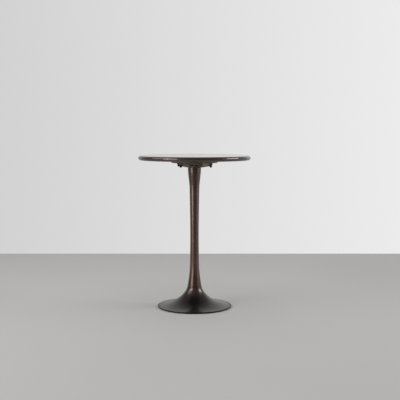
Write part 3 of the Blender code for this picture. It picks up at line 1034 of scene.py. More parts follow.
@dataclass(frozen=True)
class ZincPlate(Finish):
    """Zinc-plated steel: pale, faintly blue and yellow, dulled in spots.

    Attributes:
        bright: tone of clean plate.
        tint: tone of the passivation.
        dull: tone of white bloom and grime.
        depth: depth of its relief.
    """

    bright: Colour = (0.480, 0.475, 0.460)
    tint: Colour = (0.420, 0.400, 0.330)
    dull: Colour = (0.230, 0.225, 0.215)
    depth: float = 0.000015

    def paint(self, graph: Graph, shader: bpy.types.Node) -> None:
        """Lays clouded plate on the shader.

        Args:
            graph: tree of the material.
            shader: its shader.
        """
        place = self.place(graph)
        cloud = graph.grain(place, 85.0, 3.0)
        spots = graph.ease(graph.grain(place, 620.0, 4.0, 0.6), 0.55, 0.75)
        fine = graph.grain(place, 2600.0, 2.0)
        plate = graph.mix(graph.ease(cloud, 0.35, 0.65), self.bright, self.tint)
        graph.fill(
            shader,
            {
                "Base Color": graph.mix(spots * 0.7, plate, self.dull),
                "Metallic": 1.0 - spots * 0.35,
                "Roughness": 0.30 + spots * 0.25 + (fine - 0.5) * 0.12,
                "Normal": graph.relief(fine, self.depth),
            },
        )


@dataclass(frozen=True)
class SealedBoard(Finish):
    """Dark sealed fibreboard with pressed fibres under the seal.

    Attributes:
        dark: tone of the seal.
        fibre: tone of the fibres that show through.
        depth: depth of its relief.
    """

    dark: Colour = (0.030, 0.020, 0.016)
    fibre: Colour = (0.085, 0.056, 0.040)
    depth: float = 0.00006

    def paint(self, graph: Graph, shader: bpy.types.Node) -> None:
        """Lays fibres in two directions under the seal on the shader.

        Args:
            graph: tree of the material.
            shader: its shader.
        """
        place = self.place(graph)
        along = graph.grain(graph.stretched(place, (130.0, 1500.0, 900.0)), 1.0, 3.0, 0.6)
        across = graph.grain(graph.stretched(place, (1500.0, 170.0, 900.0)), 1.0, 3.0, 0.6)
        fibres = graph.math("MAXIMUM", along, across)
        blotch = graph.grain(place, 24.0, 3.0)
        share = graph.ease(fibres, 0.55, 0.8) * 0.7 + (blotch - 0.5) * 0.5
        graph.fill(
            shader,
            {
                "Base Color": graph.mix(share, self.dark, self.fibre),
                "Roughness": 0.55 + (fibres - 0.5) * 0.3,
                "Normal": graph.relief(fibres, self.depth),
            },
        )


@dataclass(frozen=True)
class DenseFelt(Finish):
    """Dense dark felt with matted fibres.

    Attributes:
        dark: tone between the fibres.
        lint: tone of the fibres on top.
        depth: depth of its relief.
    """

    dark: Colour = (0.010, 0.009, 0.009)
    lint: Colour = (0.045, 0.042, 0.040)
    depth: float = 0.0002

    def paint(self, graph: Graph, shader: bpy.types.Node) -> None:
        """Lays matted fibres on the shader.

        Args:
            graph: tree of the material.
            shader: its shader.
        """
        place = self.place(graph)
        mat = graph.grain(place, 1500.0, 5.0, 0.75)
        strands = graph.grain(graph.stretched(place, (700.0, 2600.0, 2600.0)), 1.0, 3.0, 0.6)
        fibres = graph.math("MAXIMUM", mat, strands)
        graph.fill(
            shader,
            {
                "Base Color": graph.mix(graph.ease(fibres, 0.45, 0.75), self.dark, self.lint),
                "Roughness": 0.95,
                "Sheen Weight": 0.25,
                "Normal": graph.relief(fibres, self.depth),
            },
        )


@dataclass(frozen=True)
class PaleFloor(Finish):
    """Plain pale floor that takes the table's shadow.

    Attributes:
        tone: its colour.
        shade: how bright its clouds are.
    """

    tone: Colour = (0.560, 0.552, 0.540)
    shade: float = 0.95

    def paint(self, graph: Graph, shader: bpy.types.Node) -> None:
        """Lays a faintly clouded pale tone on the shader.

        Args:
            graph: tree of the material.
            shader: its shader.
        """
        cloud = graph.grain(self.place(graph), 1.6, 3.0)
        darker = tuple(self.shade * part for part in self.tone)
        graph.fill(
            shader,
            {
                "Base Color": graph.mix(cloud, darker, self.tone),
                "Roughness": 0.75,
                "Specular IOR Level": 0.2,
            },
        )


TOP_BRONZE = BronzeLacquer(
    "spun_bronze",
    Grain.SPUN,
    deep=(0.046, 0.024, 0.017),
    tone=(0.072, 0.038, 0.027),
    warm=(0.088, 0.041, 0.026),
    roughness=0.56,
    lacquer_roughness=0.05,
    lacquer_index=1.68,
    mark_depth=0.000002,
)
PLATE_BRONZE = BronzeLacquer(
    "pressed_bronze",
    Grain.SPUN,
    deep=(0.054, 0.029, 0.021),
    tone=(0.084, 0.045, 0.033),
    warm=(0.102, 0.048, 0.032),
    roughness=0.55,
    lacquer=0.5,
)
COLUMN_BRONZE = BronzeLacquer(
    "turned_bronze",
    Grain.TURNED,
    deep=(0.078, 0.042, 0.030),
    tone=(0.119, 0.065, 0.047),
    warm=(0.141, 0.069, 0.045),
    mark_depth=0.0000025,
)
BASE_BRONZE = BronzeLacquer(
    "cast_bronze",
    Grain.CAST,
    deep=(0.062, 0.039, 0.031),
    tone=(0.090, 0.057, 0.046),
    warm=(0.104, 0.060, 0.045),
    lacquer=0.75,
    mark_depth=0.00001,
    dull_from=0.028,
    dull_to=0.048,
    # Painted shade on the low side of the rim, below this level.
    foot_shade=0.0060,
)


# The table


@dataclass
class TableTop:
    """Spun metal skin with a full-round edge, over a sealed board.

    Attributes:
        skin: finish of the skin.
        board: finish of the board.
        radius: radius of the top.
        crest: highest level, on the lip.
        thickness: thickness over the edge.
        lip_height: rise of the lip above the field.
        lip_width: width of that rise.
        lip_steps: points of that rise.
        field_rings: rings of the field, as shares of its radius.
        sheet: thickness of the sheet.
        flange: width of the flange turned under.
        gap: room between skin and board.
        arris: rounding of the board's edge.
        shoulder: where the edge is rubbed most, out from the middle of its round.
        shoulder_rub: how rubbed it is there.
        girth_rub: how rubbed the edge is half-way down.
        rub_width: width of both rubbed bands.
        sides: points round the top.
    """

    skin: bpy.types.Material
    board: bpy.types.Material
    radius: float = 0.225
    crest: float = 0.612
    thickness: float = 0.018
    lip_height: float = 0.0006
    lip_width: float = 0.005
    lip_steps: int = 8
    field_rings: tuple[float, ...] = (0.0, 0.2, 0.4, 0.6, 0.8, 0.92)
    sheet: float = 0.0015
    flange: float = 0.026
    gap: float = 0.0003
    arris: float = 0.0012
    shoulder: float = 0.0035
    shoulder_rub: float = 0.15
    girth_rub: float = 0.12
    rub_width: float = 0.004
    sides: int = 192

    def __post_init__(self) -> None:
        """Works out the levels and radii that skin and board share."""
        self.bow = self.thickness / 2
        self.edge = (self.radius - self.bow, self.crest - self.bow)
        self.field = self.crest - self.lip_height
        self.under = self.crest - self.thickness
        self.flange_end = self.edge[0] - self.flange

    def lip(self, level: float) -> list[Point]:
        """Gives the rise from the field to the crest.

        Args:
            level: level of the field.

        Returns:
            Points of the rise, without the crest.
        """
        shares = [step / self.lip_steps for step in range(self.lip_steps)]
        start = self.edge[0] - self.lip_width
        return [(start + self.lip_width * s, level + self.lip_height * smooth_step(s)) for s in shares]

    def build_skin(self) -> bpy.types.Mesh:
        """Turns the skin, with a rounded hem at the end of its flange.

        Returns:
            The skin, marked where it is rubbed.
        """
        hem = self.sheet / 2
        field = [(self.edge[0] * share, self.field) for share in self.field_rings]
        outside = field + self.lip(self.field) + arc(self.edge, self.bow, 90.0, -90.0, steps=36)
        fold = arc((self.flange_end + hem, self.under + hem), hem, 270.0, 90.0, steps=8)
        inside = arc(self.edge, self.bow - self.sheet, -90.0, 90.0, steps=12)
        back = list(reversed(self.lip(self.field - self.sheet))) + [(0.0, self.field - self.sheet)]
        mesh = spin("top_skin", outside + fold + inside + back, self.sides)
        mark_wear(mesh, self.rubbed)
        return mesh

    def rubbed(self, reach: float, level: float) -> float:
        """Tells how rubbed the skin is: most on the shoulder of its edge.

        Args:
            reach: distance from the axis.
            level: height.

        Returns:
            The wear, from 0 to 1.
        """
        middle, height = self.edge
        shoulder = bell(reach, middle + self.shoulder, self.rub_width) if level > height else 0.0
        girth = self.girth_rub * bell(level, height, self.rub_width) if reach > middle else 0.0
        return min(self.shoulder_rub * shoulder + girth, 1.0)

    def build_board(self) -> bpy.types.Mesh:
        """Turns the board, rebated over the flange.

        Returns:
            The board.
        """
        top = self.field - self.sheet - self.gap
        shoulder = self.under + self.sheet + self.gap
        wide = self.edge[0] - self.gap
        narrow = self.flange_end - self.gap
        corners = [(0.0, top), (wide, top), (wide, shoulder), (narrow, shoulder), (narrow, self.under)]
        profile = eased(corners + [(0.0, self.under)], self.arris)
        return spin("top_core", profile, self.sides)

    def dress(self) -> None:
        """Puts skin and board on the table."""
        set_piece("top_skin_spun", self.build_skin(), self.skin, ["top_skin"])
        set_piece("top_board", self.build_board(), self.board, ["top_core"])


@dataclass
class MountingPlate:
    """Round plate under the board, with its countersunk screws.

    Attributes:
        bronze: finish of the plate.
        steel: finish of the screws.
        ring: tree that sets out the screws and holes.
        top: upper level.
        bottom: lower level.
        radius: radius at the lower face.
        slope: how much wider the upper face is.
        opening: radius of the opening for the tie rod.
        arris: rounding of the plate's edges.
        shank: radius of a screw's shank.
        head: radius of a screw's head.
        head_height: height of a screw's head.
        sunk: how far a screw's face lies inside the plate's.
        screw_length: length of a screw.
        room: room round a screw.
        recess: half length, half width and depth of the steps of a screw's cross recess.
        recess_depth: depth of its point.
        overrun: how far the drills go past the plate.
        drill_sides: points round a drill.
        rub: how rubbed the lower edge is.
        rub_width: width of that edge.
        sides: points round the plate.
        screw_sides: points round a screw.
    """

    bronze: bpy.types.Material
    steel: bpy.types.Material
    ring: FastenerRing
    top: float = 0.5937
    bottom: float = 0.5833
    radius: float = 0.0925
    slope: float = 0.004
    opening: float = 0.022
    arris: float = 0.0011
    shank: float = 0.0019
    head: float = 0.0040
    head_height: float = 0.0026
    sunk: float = 0.00005
    screw_length: float = 0.016
    room: float = 0.0003
    recess: tuple[tuple[float, float, float], ...] = (
        (0.0024, 0.00062, 0.0),
        (0.0022, 0.00055, 0.00015),
        (0.0011, 0.00034, 0.0017),
    )
    recess_depth: float = 0.0021
    overrun: float = 0.001
    drill_sides: int = 32
    rub: float = 0.6
    rub_width: float = 0.002
    sides: int = 192
    screw_sides: int = 64

    def build_plate(self) -> bpy.types.Mesh:
        """Turns the plate, then drills and countersinks it.

        Returns:
            The plate, marked where it is rubbed.
        """
        corners = [
            (self.radius + self.slope, self.top),
            (self.radius, self.bottom),
            (self.opening, self.bottom),
            (self.opening, self.top),
        ]
        blank = eased(corners, self.arris, steps=5, closed=True)
        plate = spin("mounting_plate", blank, self.sides, closed=True)
        above, below = self.top + self.overrun, self.bottom - self.overrun
        hole = [(0, above), (BOLT_HOLE, above), (BOLT_HOLE, below), (0, below)]
        wide = self.head + self.room
        thin = self.shank + self.room
        neck = self.bottom + self.head_height
        sink = [(0, above), (thin, above), (thin, neck), (wide, self.bottom), (wide, below), (0, below)]
        for name, profile, circle in (("bolt_holes", hole, BOLTS), ("screw_holes", sink, SCREWS)):
            drill = spin(name, profile, self.drill_sides)
            plate = cut(plate, self.ring.set_out(name, drill, circle))
        mark_wear(plate, self.rubbed)
        return plate

    def rubbed(self, reach: float, level: float) -> float:
        """Tells how rubbed the plate is: on its lower edge."""
        edge = self.rub * bell(reach, self.radius, self.rub_width)
        return edge * bell(level, self.bottom, self.rub_width)

    def cross(self, arm: float, width: float, level: float) -> Ring:
        """Gives a ring in the shape of a cross recess.

        Args:
            arm: half the length of an arm.
            width: half the width of an arm.
            level: its height.

        Returns:
            The ring's rule.
        """
        quarter = math.pi / 2

        def rule(angle: float) -> Point:
            """Radius of the cross at an angle."""
            turn = abs((angle + quarter / 2) % quarter - quarter / 2)
            return min(arm / math.cos(turn), width / max(math.sin(turn), 1e-6)), level

        return rule

    def build_screws(self) -> bpy.types.Mesh:
        """Turns one countersunk screw with a cross recess and sets it out round the plate.

        Returns:
            All the screws.
        """
        face = self.bottom + self.sunk
        neck = self.bottom + self.head_height
        tip = self.bottom + self.screw_length
        point = [(0.0, tip), (self.shank * 0.4, tip - 0.0008), (self.shank, tip - 0.004)]
        fillet = [(self.shank, neck + 0.0004), (self.shank + 0.0003, neck)]
        rounding = ((-0.00015, 0.00025), (0.0, 0.0001), (-0.0002, 0.0))
        edge = [(self.head + out, face + up) for out, up in rounding]
        recess = [self.cross(arm, width, face + depth) for arm, width, depth in self.recess]
        rings = [*point, *fillet, *edge, *recess, (0.0, face + self.recess_depth)]
        return self.ring.set_out("plate_screws", spin("plate_screw", rings, self.screw_sides), SCREWS)

    def dress(self) -> None:
        """Puts plate and screws on the table."""
        screws = numbered("plate_screw", SCREWS)
        set_piece("plate_drilled", self.build_plate(), self.bronze, ["mounting_plate"])
        set_piece("plate_screw_set", self.build_screws(), self.steel, screws)


@dataclass
class Spider:
    """Four-armed casting between plate and column, with the bolts that hold it.

    Attributes:
        casting: finish of the casting.
        black: finish of the bolts and washers.
        ring: tree that sets out the bolts.
        coil: tree that winds the lock washers.
        voxel: fineness of the casting's mesh.
        softening: how often the casting's edges are softened.
        roughing: height of the casting's unevenness.
        lumps: waves of that unevenness to the metre.
        shrinkage: how far it lies under the solid, as a share of its height.
        pad_bottom: level under the pads.
        head: distance to the flats of a bolt's head.
        head_height: height of the head's flats.
        face: how much smaller than the flats the head's round faces are.
        dome: radius of the dome under the flats.
        dome_height: height of that dome.
        collar: step between flats and dome.
        shank: radius of a bolt's shank.
        bevel: bevel of its tip.
        fillet: fillet between shank and head, and height of the step over the dome.
        tip: level of the bolts' tips.
        corner: where a head is rubbed, as a share of the distance to its flats.
        rub_width: width of those rubbed corners.
        washer: radius of a washer.
        washer_height: height of a washer.
        washer_arris: rounding of a washer's edges.
        gap: room between stacked pieces.
        bolt_sides: points round a bolt.
        washer_sides: points round a washer.
    """

    casting: bpy.types.Material
    black: bpy.types.Material
    ring: FastenerRing
    coil: SpringCoil
    voxel: float = 0.0007
    softening: int = 7
    roughing: float = 0.00022
    lumps: float = 160.0
    shrinkage: float = 0.6
    pad_bottom: float = 0.579
    head: float = 0.0050
    head_height: float = 0.005
    face: float = 0.0002
    dome: float = 0.0046
    dome_height: float = 0.0046
    collar: float = 0.0001
    shank: float = 0.003
    bevel: float = 0.0006
    fillet: float = 0.0003
    tip: float = 0.5909
    corner: float = 1.12
    rub_width: float = 0.0004
    washer: float = 0.0072
    washer_height: float = 0.0015
    washer_arris: float = 0.0003
    gap: float = 0.0003
    bolt_sides: int = 72
    washer_sides: int = 56

    def __post_init__(self) -> None:
        """Works out the levels of washers and heads, from the pads down."""
        self.washer_top = self.pad_bottom - self.gap
        self.washer_low = self.washer_top - self.washer_height
        self.lock_low = self.washer_low - self.gap - self.washer_height
        self.head_top = self.lock_low - self.gap
        self.head_bottom = self.head_top - self.head_height

    def build_casting(self, solid: bpy.types.Object) -> bpy.types.Mesh:
        """Softens a copy of the solid as a sand mould does.

        Args:
            solid: the spider's solid.

        Returns:
            A closed mesh with eased edges and an uneven skin.
        """
        holder = placed("spider", weld("spider", [solid.data.copy()]))
        remesh = holder.modifiers.new("mould", "REMESH")
        remesh.mode = "VOXEL"
        remesh.voxel_size = self.voxel
        soften = holder.modifiers.new("soften", "SMOOTH")
        soften.factor = 0.5
        soften.iterations = self.softening
        mesh = taken(holder)
        skin = [(vertex.co.copy(), vertex.normal.copy()) for vertex in mesh.vertices]
        for vertex, (place, normal) in zip(mesh.vertices, skin):
            height = noise.noise(place * self.lumps) - self.shrinkage
            vertex.co = place + normal * height * self.roughing
        return mesh

    def build_bolts(self) -> bpy.types.Mesh:
        """Turns one hexagon bolt with a domed end and sets it out.

        Returns:
            All the bolts, marked where they are rubbed.
        """
        low, high = self.head_bottom, self.head_top
        face = self.head - self.face
        rings: list[Ring] = [
            (0.0, self.tip),
            (self.shank - self.bevel, self.tip),
            (self.shank, self.tip - self.bevel),
            (self.shank, high + self.fillet),
            (self.shank + self.fillet, high),
            (face, high),
            chamfered(self.head, face, high, -1.0),
            chamfered(self.head, face, low, 1.0),
            (face, low),
            (self.dome + self.collar, low - self.collar),
        ]
        swell = self.dome_height - self.fillet
        for reach, drop in arc((0.0, 0.0), 1.0, 0.0, -90.0, steps=9)[:-1]:
            rings.append((self.dome * reach, low - self.fillet + drop * swell))
        rings.append((0.0, low - self.dome_height))
        bolt = spin("spider_bolt", rings, self.bolt_sides)
        mark_wear(bolt, self.rubbed)
        return self.ring.set_out("spider_bolts", bolt, BOLTS)

    def rubbed(self, reach: float, level: float) -> float:
        """Tells how rubbed a bolt is: on the corners of its head."""
        return bell(reach, self.head * self.corner, self.rub_width) * (level < self.head_top + self.gap)

    def build_washers(self) -> bpy.types.Mesh:
        """Turns one plain washer and sets it out.

        Returns:
            All the washers.
        """
        levels = (self.washer_low, self.washer_top)
        radii = (BOLT_HOLE, self.washer)
        washer = flat_ring("bolt_washer", radii, levels, self.washer_arris, self.washer_sides)
        return self.ring.set_out("bolt_washers", washer, BOLTS)

    def build_lock_washers(self) -> bpy.types.Mesh:
        """Winds one split lock washer and sets it out.

        Returns:
            All the lock washers.
        """
        spring = {"rise": 0.0003, "turns": 0.965, "room": 0.0001}
        radii = (BOLT_HOLE, self.head)
        coil = self.coil.wind("bolt_lock_washer", radii, self.lock_low, self.washer_height, **spring)
        return self.ring.set_out("bolt_lock_washers", coil, BOLTS)

    def dress(self, solid: bpy.types.Object) -> None:
        """Puts casting, bolts and washers on the table.

        Args:
            solid: the spider's solid.
        """
        set_piece("spider_cast", self.build_casting(solid), self.casting, ["spider"])
        sets = {
            "bolt_set": (self.build_bolts(), "spider_bolt"),
            "washer_set": (self.build_washers(), "bolt_washer"),
            "lock_washer_set": (self.build_lock_washers(), "bolt_lock_washer"),
        }
        for name, (mesh, stem) in sets.items():
            set_piece(name, mesh, self.black, numbered(stem, BOLTS))


@dataclass
class Column:
    """Hollow turned column, flared at both ends.

    Attributes:
        bronze: finish of the column.
        foot: lower level.
        top: upper level.
        waist: radius at the waist.
        waist_level: level of the waist.
        shaft_top: radius of the shaft where the upper flare starts.
        top_radius: radius at the top.
        foot_radius: radius at the foot.
        top_flare: length of the upper flare.
        foot_flare: length of the lower flare.
        swell_power: how late the shaft swells.
        flare_power: how late the lower flare opens.
        bore: radius of the bore.
        socket: radius of the sockets at the ends.
        socket_depth: depth of those sockets.
        arris: rounding of the ends.
        foot_rub: how rubbed the lower edge is.
        top_rub: how rubbed the upper edge is.
        rub_width: width of those edges.
        sides: points round the column.
        rows: points up the column.
    """

    bronze: bpy.types.Material
    foot: float = 0.0895
    top: float = 0.5644
    waist: float = 0.0172
    waist_level: float = 0.287
    shaft_top: float = 0.0197
    top_radius: float = 0.0268
    foot_radius: float = 0.0276
    top_flare: float = 0.089
    foot_flare: float = 0.100
    swell_power: float = 1.5
    flare_power: float = 2.14
    bore: float = 0.011
    socket: float = 0.0143
    socket_depth: float = 0.0093
    arris: float = 0.0009
    foot_rub: float = 0.8
    top_rub: float = 0.6
    rub_width: float = 0.0016
    sides: int = 112
    rows: int = 150

    def build(self) -> bpy.types.Mesh:
        """Makes the outer wall by its rule and closes it with ends, sockets and bore.

        Returns:
            The column, marked where it is rubbed.
        """
        sizes = {
            "Foot Level": self.foot,
            "Top Level": self.top,
            "Waist Radius": self.waist,
            "Waist Level": self.waist_level,
            "Shaft Top Radius": self.shaft_top,
            "Top Radius": self.top_radius,
            "Foot Radius": self.foot_radius,
            "Top Flare": self.top_flare,
            "Foot Flare": self.foot_flare,
            "Swell Power": self.swell_power,
            "Flare Power": self.flare_power,
            "Arris": self.arris,
            "Columns": self.sides + 1,
            "Rows": self.rows,
        }
        wall = ColumnWall().make("column_wall", sizes)
        bore = [
            (self.top_radius - self.arris, self.top),
            (self.socket, self.top),
            (self.socket, self.top - self.socket_depth),
            (self.bore, self.top - self.socket_depth),
            (self.bore, self.foot + self.socket_depth),
            (self.socket, self.foot + self.socket_depth),
            (self.socket, self.foot),
            (self.foot_radius - self.arris, self.foot),
        ]
        mesh = weld("column", [wall, spin("column_bore", bore, self.sides)])
        mark_wear(mesh, self.rubbed)
        return mesh

    def rubbed(self, reach: float, level: float) -> float:
        """Tells how rubbed the column is: on its two end edges, at any reach."""
        foot = self.foot_rub * bell(level, self.foot, self.rub_width)
        return foot + self.top_rub * bell(level, self.top, self.rub_width)

    def dress(self) -> None:
        """Puts the column on the table."""
        set_piece("column_turned", self.build(), self.bronze, ["column"])


@dataclass
class Base:
    """Hollow trumpet casting with a foot ring, a drilled boss and felt pads.

    Attributes:
        bronze: finish of the casting.
        felt: finish of the pads.
        ring: tree that sets out the pads.
        radius: radius of the rim.
        bottom: level under the foot ring.
        edge_top: level of the rim's upper edge.
        neck: radius of the neck.
        neck_top: level of the neck's end.
        curve_power: roundness of the flare.
        curve_steps: points of the flare.
        wall: thickness of the wall.
        cavity_steps: points of the hollow's curve.
        foot_ring: inner radius of the foot ring.
        roof: level of the hollow's roof.
        boss: radius of the boss.
        boss_bottom: level under the boss.
        spigot: radius of the spigot.
        spigot_top: level of the spigot's end.
        rod_hole: radius of the hole for the tie rod.
        arris: rounding of the edges.
        rim_rub: how rubbed the rim is.
        rim_width: breadth and height of its rubbed edge.
        neck_rub: how rubbed the end of the neck is.
        neck_width: breadth and height of its rubbed edge.
        pad: radius of a pad.
        pad_height: height of a pad.
        pad_arris: rounding of a pad's edges.
        pad_sides: points round a pad.
        sides: points round the base.
    """

    bronze: bpy.types.Material
    felt: bpy.types.Material
    ring: FastenerRing
    radius: float = 0.149
    bottom: float = 0.002
    edge_top: float = 0.0055
    neck: float = 0.0280
    neck_top: float = 0.0892
    curve_power: float = 1.76
    curve_steps: int = 96
    wall: float = 0.005
    cavity_steps: int = 60
    foot_ring: float = 0.128
    roof: float = 0.0652
    boss: float = 0.020
    boss_bottom: float = 0.0592
    spigot: float = 0.014
    spigot_top: float = 0.0982
    rod_hole: float = 0.0064
    arris: float = 0.0011
    rim_rub: float = 0.15
    rim_width: Point = (0.0022, 0.0011)
    neck_rub: float = 0.6
    neck_width: Point = (0.0012, 0.0016)
    pad: float = 0.0085
    pad_height: float = 0.0017
    pad_arris: float = 0.0005
    pad_sides: int = 56
    sides: int = 192

    def flare(self, share: float) -> Point:
        """Gives a point of the outer curve.

        Args:
            share: 0 at the neck to 1 at the rim.

        Returns:
            The point's radius and level.
        """
        angle = share * math.pi / 2
        out = 1.0 - math.cos(angle) ** (2 / self.curve_power)
        up = 1.0 - math.sin(angle) ** (2 / self.curve_power)
        radius = self.neck + (self.radius - self.neck) * out
        return radius, self.edge_top + (self.neck_top - self.edge_top) * up

    def cavity(self) -> list[Point]:
        """Gives the inner curve, a wall's thickness inside the flare.

        Returns:
            Its points, from the foot ring up.
        """
        points = []
        nudge = 0.002
        for step in range(1, self.cavity_steps):
            share = step / self.cavity_steps
            here = Vector(self.flare(share))
            along = (Vector(self.flare(share + nudge)) - Vector(self.flare(share - nudge))).normalized()
            inner = here - self.wall * Vector((-along.y, along.x))
            low_enough = inner.y < self.roof - self.arris
            if low_enough and inner.x < self.foot_ring and inner.y > self.bottom + self.arris:
                points.append((inner.x, inner.y))
        return list(reversed(points))

    def build(self) -> bpy.types.Mesh:
        """Turns the casting in one closed profile.

        Returns:
            The casting, marked where it is rubbed.
        """
        inner = self.cavity()
        flare = [self.flare(step / self.curve_steps) for step in range(self.curve_steps + 1)]
        neck = arc((self.neck - self.arris, self.neck_top - self.arris), self.arris, 90.0, 0.0, steps=5)
        below_neck = [point for point in flare if point[1] < self.neck_top - self.arris]
        foot = [
            below_neck[-2],
            (self.radius, self.edge_top),
            (self.radius, self.bottom),
            (self.foot_ring, self.bottom),
            inner[0],
        ]
        boss = [
            inner[-1],
            (inner[-1][0], self.roof),
            (self.boss, self.roof),
            (self.boss, self.boss_bottom),
            (self.rod_hole, self.boss_bottom),
            (self.rod_hole, self.spigot_top),
            (self.spigot, self.spigot_top),
            (self.spigot, self.neck_top),
            neck[0],
        ]
        outside = neck + below_neck[:-2] + eased(foot, self.arris, steps=5)
        inside = inner[1:-1] + eased(boss, self.arris)[:-1]
        mesh = spin("base", outside + inside, self.sides, closed=True)
        mark_wear(mesh, self.rubbed)
        return mesh

    def rubbed(self, reach: float, level: float) -> float:
        """Tells how rubbed the base is: on its rim and at the end of its neck.

        Args:
            reach: distance from the axis.
            level: height.

        Returns:
            The wear, from 0 to 1.
        """
        rim = bell(reach, self.radius, self.rim_width[0]) * bell(level, self.edge_top, self.rim_width[1])
        neck = bell(reach, self.neck, self.neck_width[0]) * bell(level, self.neck_top, self.neck_width[1])
        return min(self.rim_rub * rim + self.neck_rub * neck, 1.0)

    def build_pads(self) -> bpy.types.Mesh:
        """Turns one felt pad and sets it out under the foot ring.

        Returns:
            All the pads.
        """
        profile = [(0.0, self.pad_height), (self.pad, self.pad_height), (self.pad, 0.0), (0.0, 0.0)]
        pad = spin("floor_pad", eased(profile, self.pad_arris), self.pad_sides)
        return self.ring.set_out("floor_pads", pad, PADS)

    def dress(self) -> None:
        """Puts casting and pads on the table."""
        set_piece("base_cast", self.build(), self.bronze, ["base"])
        set_piece("felt_pad_set", self.build_pads(), self.felt, numbered("floor_pad", PADS))


@dataclass
class TieRod:
    """Threaded rod through the column, with its nuts, washers and clamp plate.

    Attributes:
        steel: finish of all of them.
        coil: tree that winds the lock washer.
        radius: radius of the rod.
        bottom: lower end of the rod.
        top: upper end of the rod.
        chamfer: chamfer of the rod's ends.
        pitch: pitch of the thread.
        thread: length of each threaded end.
        depth: depth of the thread.
        rows: points along each threaded end.
        hole: radius of the holes round the rod.
        flat: distance to a nut's flats.
        face: radius of a nut's round faces, as a share of that distance.
        mouth: breadth and height of the chamfer of a nut's hole.
        nut_height: height of a nut.
        nut_levels: lower levels of the two nuts.
        washer: radius of the washers.
        washer_height: height of the washers.
        top_washer: lower level of the upper washer.
        lock_washer: lower level of the lock washer.
        clamp: radius of the clamp plate.
        clamp_levels: lower and upper level of the clamp plate.
        arris: rounding of the washer's and the clamp plate's edges.
        sides: points round the rod.
        nut_sides: points round a nut.
        ring_sides: points round the washer and the clamp plate.
    """

    steel: bpy.types.Material
    coil: SpringCoil
    radius: float = 0.006
    bottom: float = 0.0408
    top: float = 0.5849
    chamfer: float = 0.0009
    pitch: float = 0.00175
    thread: float = 0.014
    depth: float = 0.0008
    rows: int = 97
    hole: float = 0.0064
    flat: float = 0.0095
    face: float = 0.97
    mouth: Point = (0.0005, 0.0006)
    nut_height: float = 0.007
    nut_levels: Point = (0.0438, 0.5749)
    washer: float = 0.012
    washer_height: float = 0.0025
    top_washer: float = 0.5721
    lock_washer: float = 0.0511
    clamp: float = 0.026
    clamp_levels: Point = (0.0539, 0.0589)
    arris: float = 0.0004
    sides: int = 40
    nut_sides: int = 72
    ring_sides: int = 96

    def build_rod(self) -> bpy.types.Mesh:
        """Makes the rod: two threaded ends, a plain shank and chamfered tips.

        Returns:
            The rod.
        """
        tree = ScrewThread()
        common = {
            "Outer Radius": self.radius,
            "Depth": self.depth,
            "Pitch": self.pitch,
            "Columns": self.sides + 1,
            "Rows": self.rows,
        }
        low = self.bottom + self.chamfer
        high = self.top - self.chamfer
        lower = tree.make("lower_thread", {**common, "Low Level": low, "High Level": low + self.thread})
        upper = tree.make("upper_thread", {**common, "Low Level": high - self.thread, "High Level": high})
        inner = self.radius - self.chamfer
        plain = {
            "shank": [(self.radius, high - self.thread), (self.radius, low + self.thread)],
            "foot": [(self.radius, low), (inner, self.bottom), (0.0, self.bottom)],
            "head": [(0.0, self.top), (inner, self.top), (self.radius, high)],
        }
        walls = [spin(name, profile, self.sides) for name, profile in plain.items()]
        return weld("tie_rod", [lower, upper, *walls])

    def build_nut(self, level: float) -> bpy.types.Mesh:
        """Makes a hexagon nut with chamfered corners.

        Args:
            level: its lower level.

        Returns:
            The nut.
        """
        face = self.flat * self.face
        top = level + self.nut_height
        breadth, height = self.mouth
        rings: list[Ring] = [
            (self.hole + breadth, top),
            (face, top),
            chamfered(self.flat, face, top, -1.0),
            chamfered(self.flat, face, level, 1.0),
            (face, level),
            (self.hole + breadth, level),
            (self.hole, level + height),
            (self.hole, top - height),
        ]
        return spin("nut", rings, self.nut_sides, closed=True)

    def build_ring(self, radius: float, low: float, high: float) -> bpy.types.Mesh:
        """Turns a flat ring round the rod."""
        return flat_ring("ring", (self.hole, radius), (low, high), self.arris, self.ring_sides)

    def build_lock_washer(self) -> bpy.types.Mesh:
        """Winds the lock washer.

        Returns:
            The lock washer.
        """
        spring = {"rise": 0.0005, "turns": 0.975, "room": 0.0002}
        radii = (self.hole, self.washer)
        return self.coil.wind("rod_lock_washer", radii, self.lock_washer, self.washer_height, **spring)

    def dress(self) -> None:
        """Puts rod, nuts, washers and clamp plate on the table."""
        low_nut, top_nut = self.nut_levels
        high = self.top_washer + self.washer_height
        pieces = {
            "tie_rod": self.build_rod(),
            "rod_bottom_nut": self.build_nut(low_nut),
            "rod_top_nut": self.build_nut(top_nut),
            "rod_top_washer": self.build_ring(self.washer, self.top_washer, high),
            "clamp_plate": self.build_ring(self.clamp, *self.clamp_levels),
            "rod_lock_washer": self.build_lock_washer(),
        }
        for node, mesh in pieces.items():
            set_piece(f"{node}_fine", mesh, self.steel, [node])


# The studio


@dataclass(frozen=True)
class SoftBox:
    """A large soft lamp that stands beside the table and faces its axis.

    Attributes:
        name: name of the lamp.
        azimuth: degrees to the right of the camera, seen from the table.
        distance: distance from the table's axis.
        level: height of its middle.
        width: its width.
        height: its height.
        power: its power.
    """

    name: str
    azimuth: float
    distance: float
    level: float
    width: float
    height: float
    power: float

    def build(self) -> None:
        """Sets up the lamp."""
        light = bpy.data.lights.new(self.name, "AREA")
        light.shape = "RECTANGLE"
        light.size = self.width
        light.size_y = self.height
        light.energy = self.power
        lamp = placed(self.name, light)
        angle = math.radians(self.azimuth)
        place = Vector((math.sin(angle) * self.distance, -math.cos(angle) * self.distance, self.level))
        turn = (Vector((0.0, 0.0, self.level)) - place).to_track_quat("-Z", "Y")
        lamp.matrix_world = Matrix.Translation(place) @ turn.to_matrix().to_4x4()
        lamp.visible_camera = False


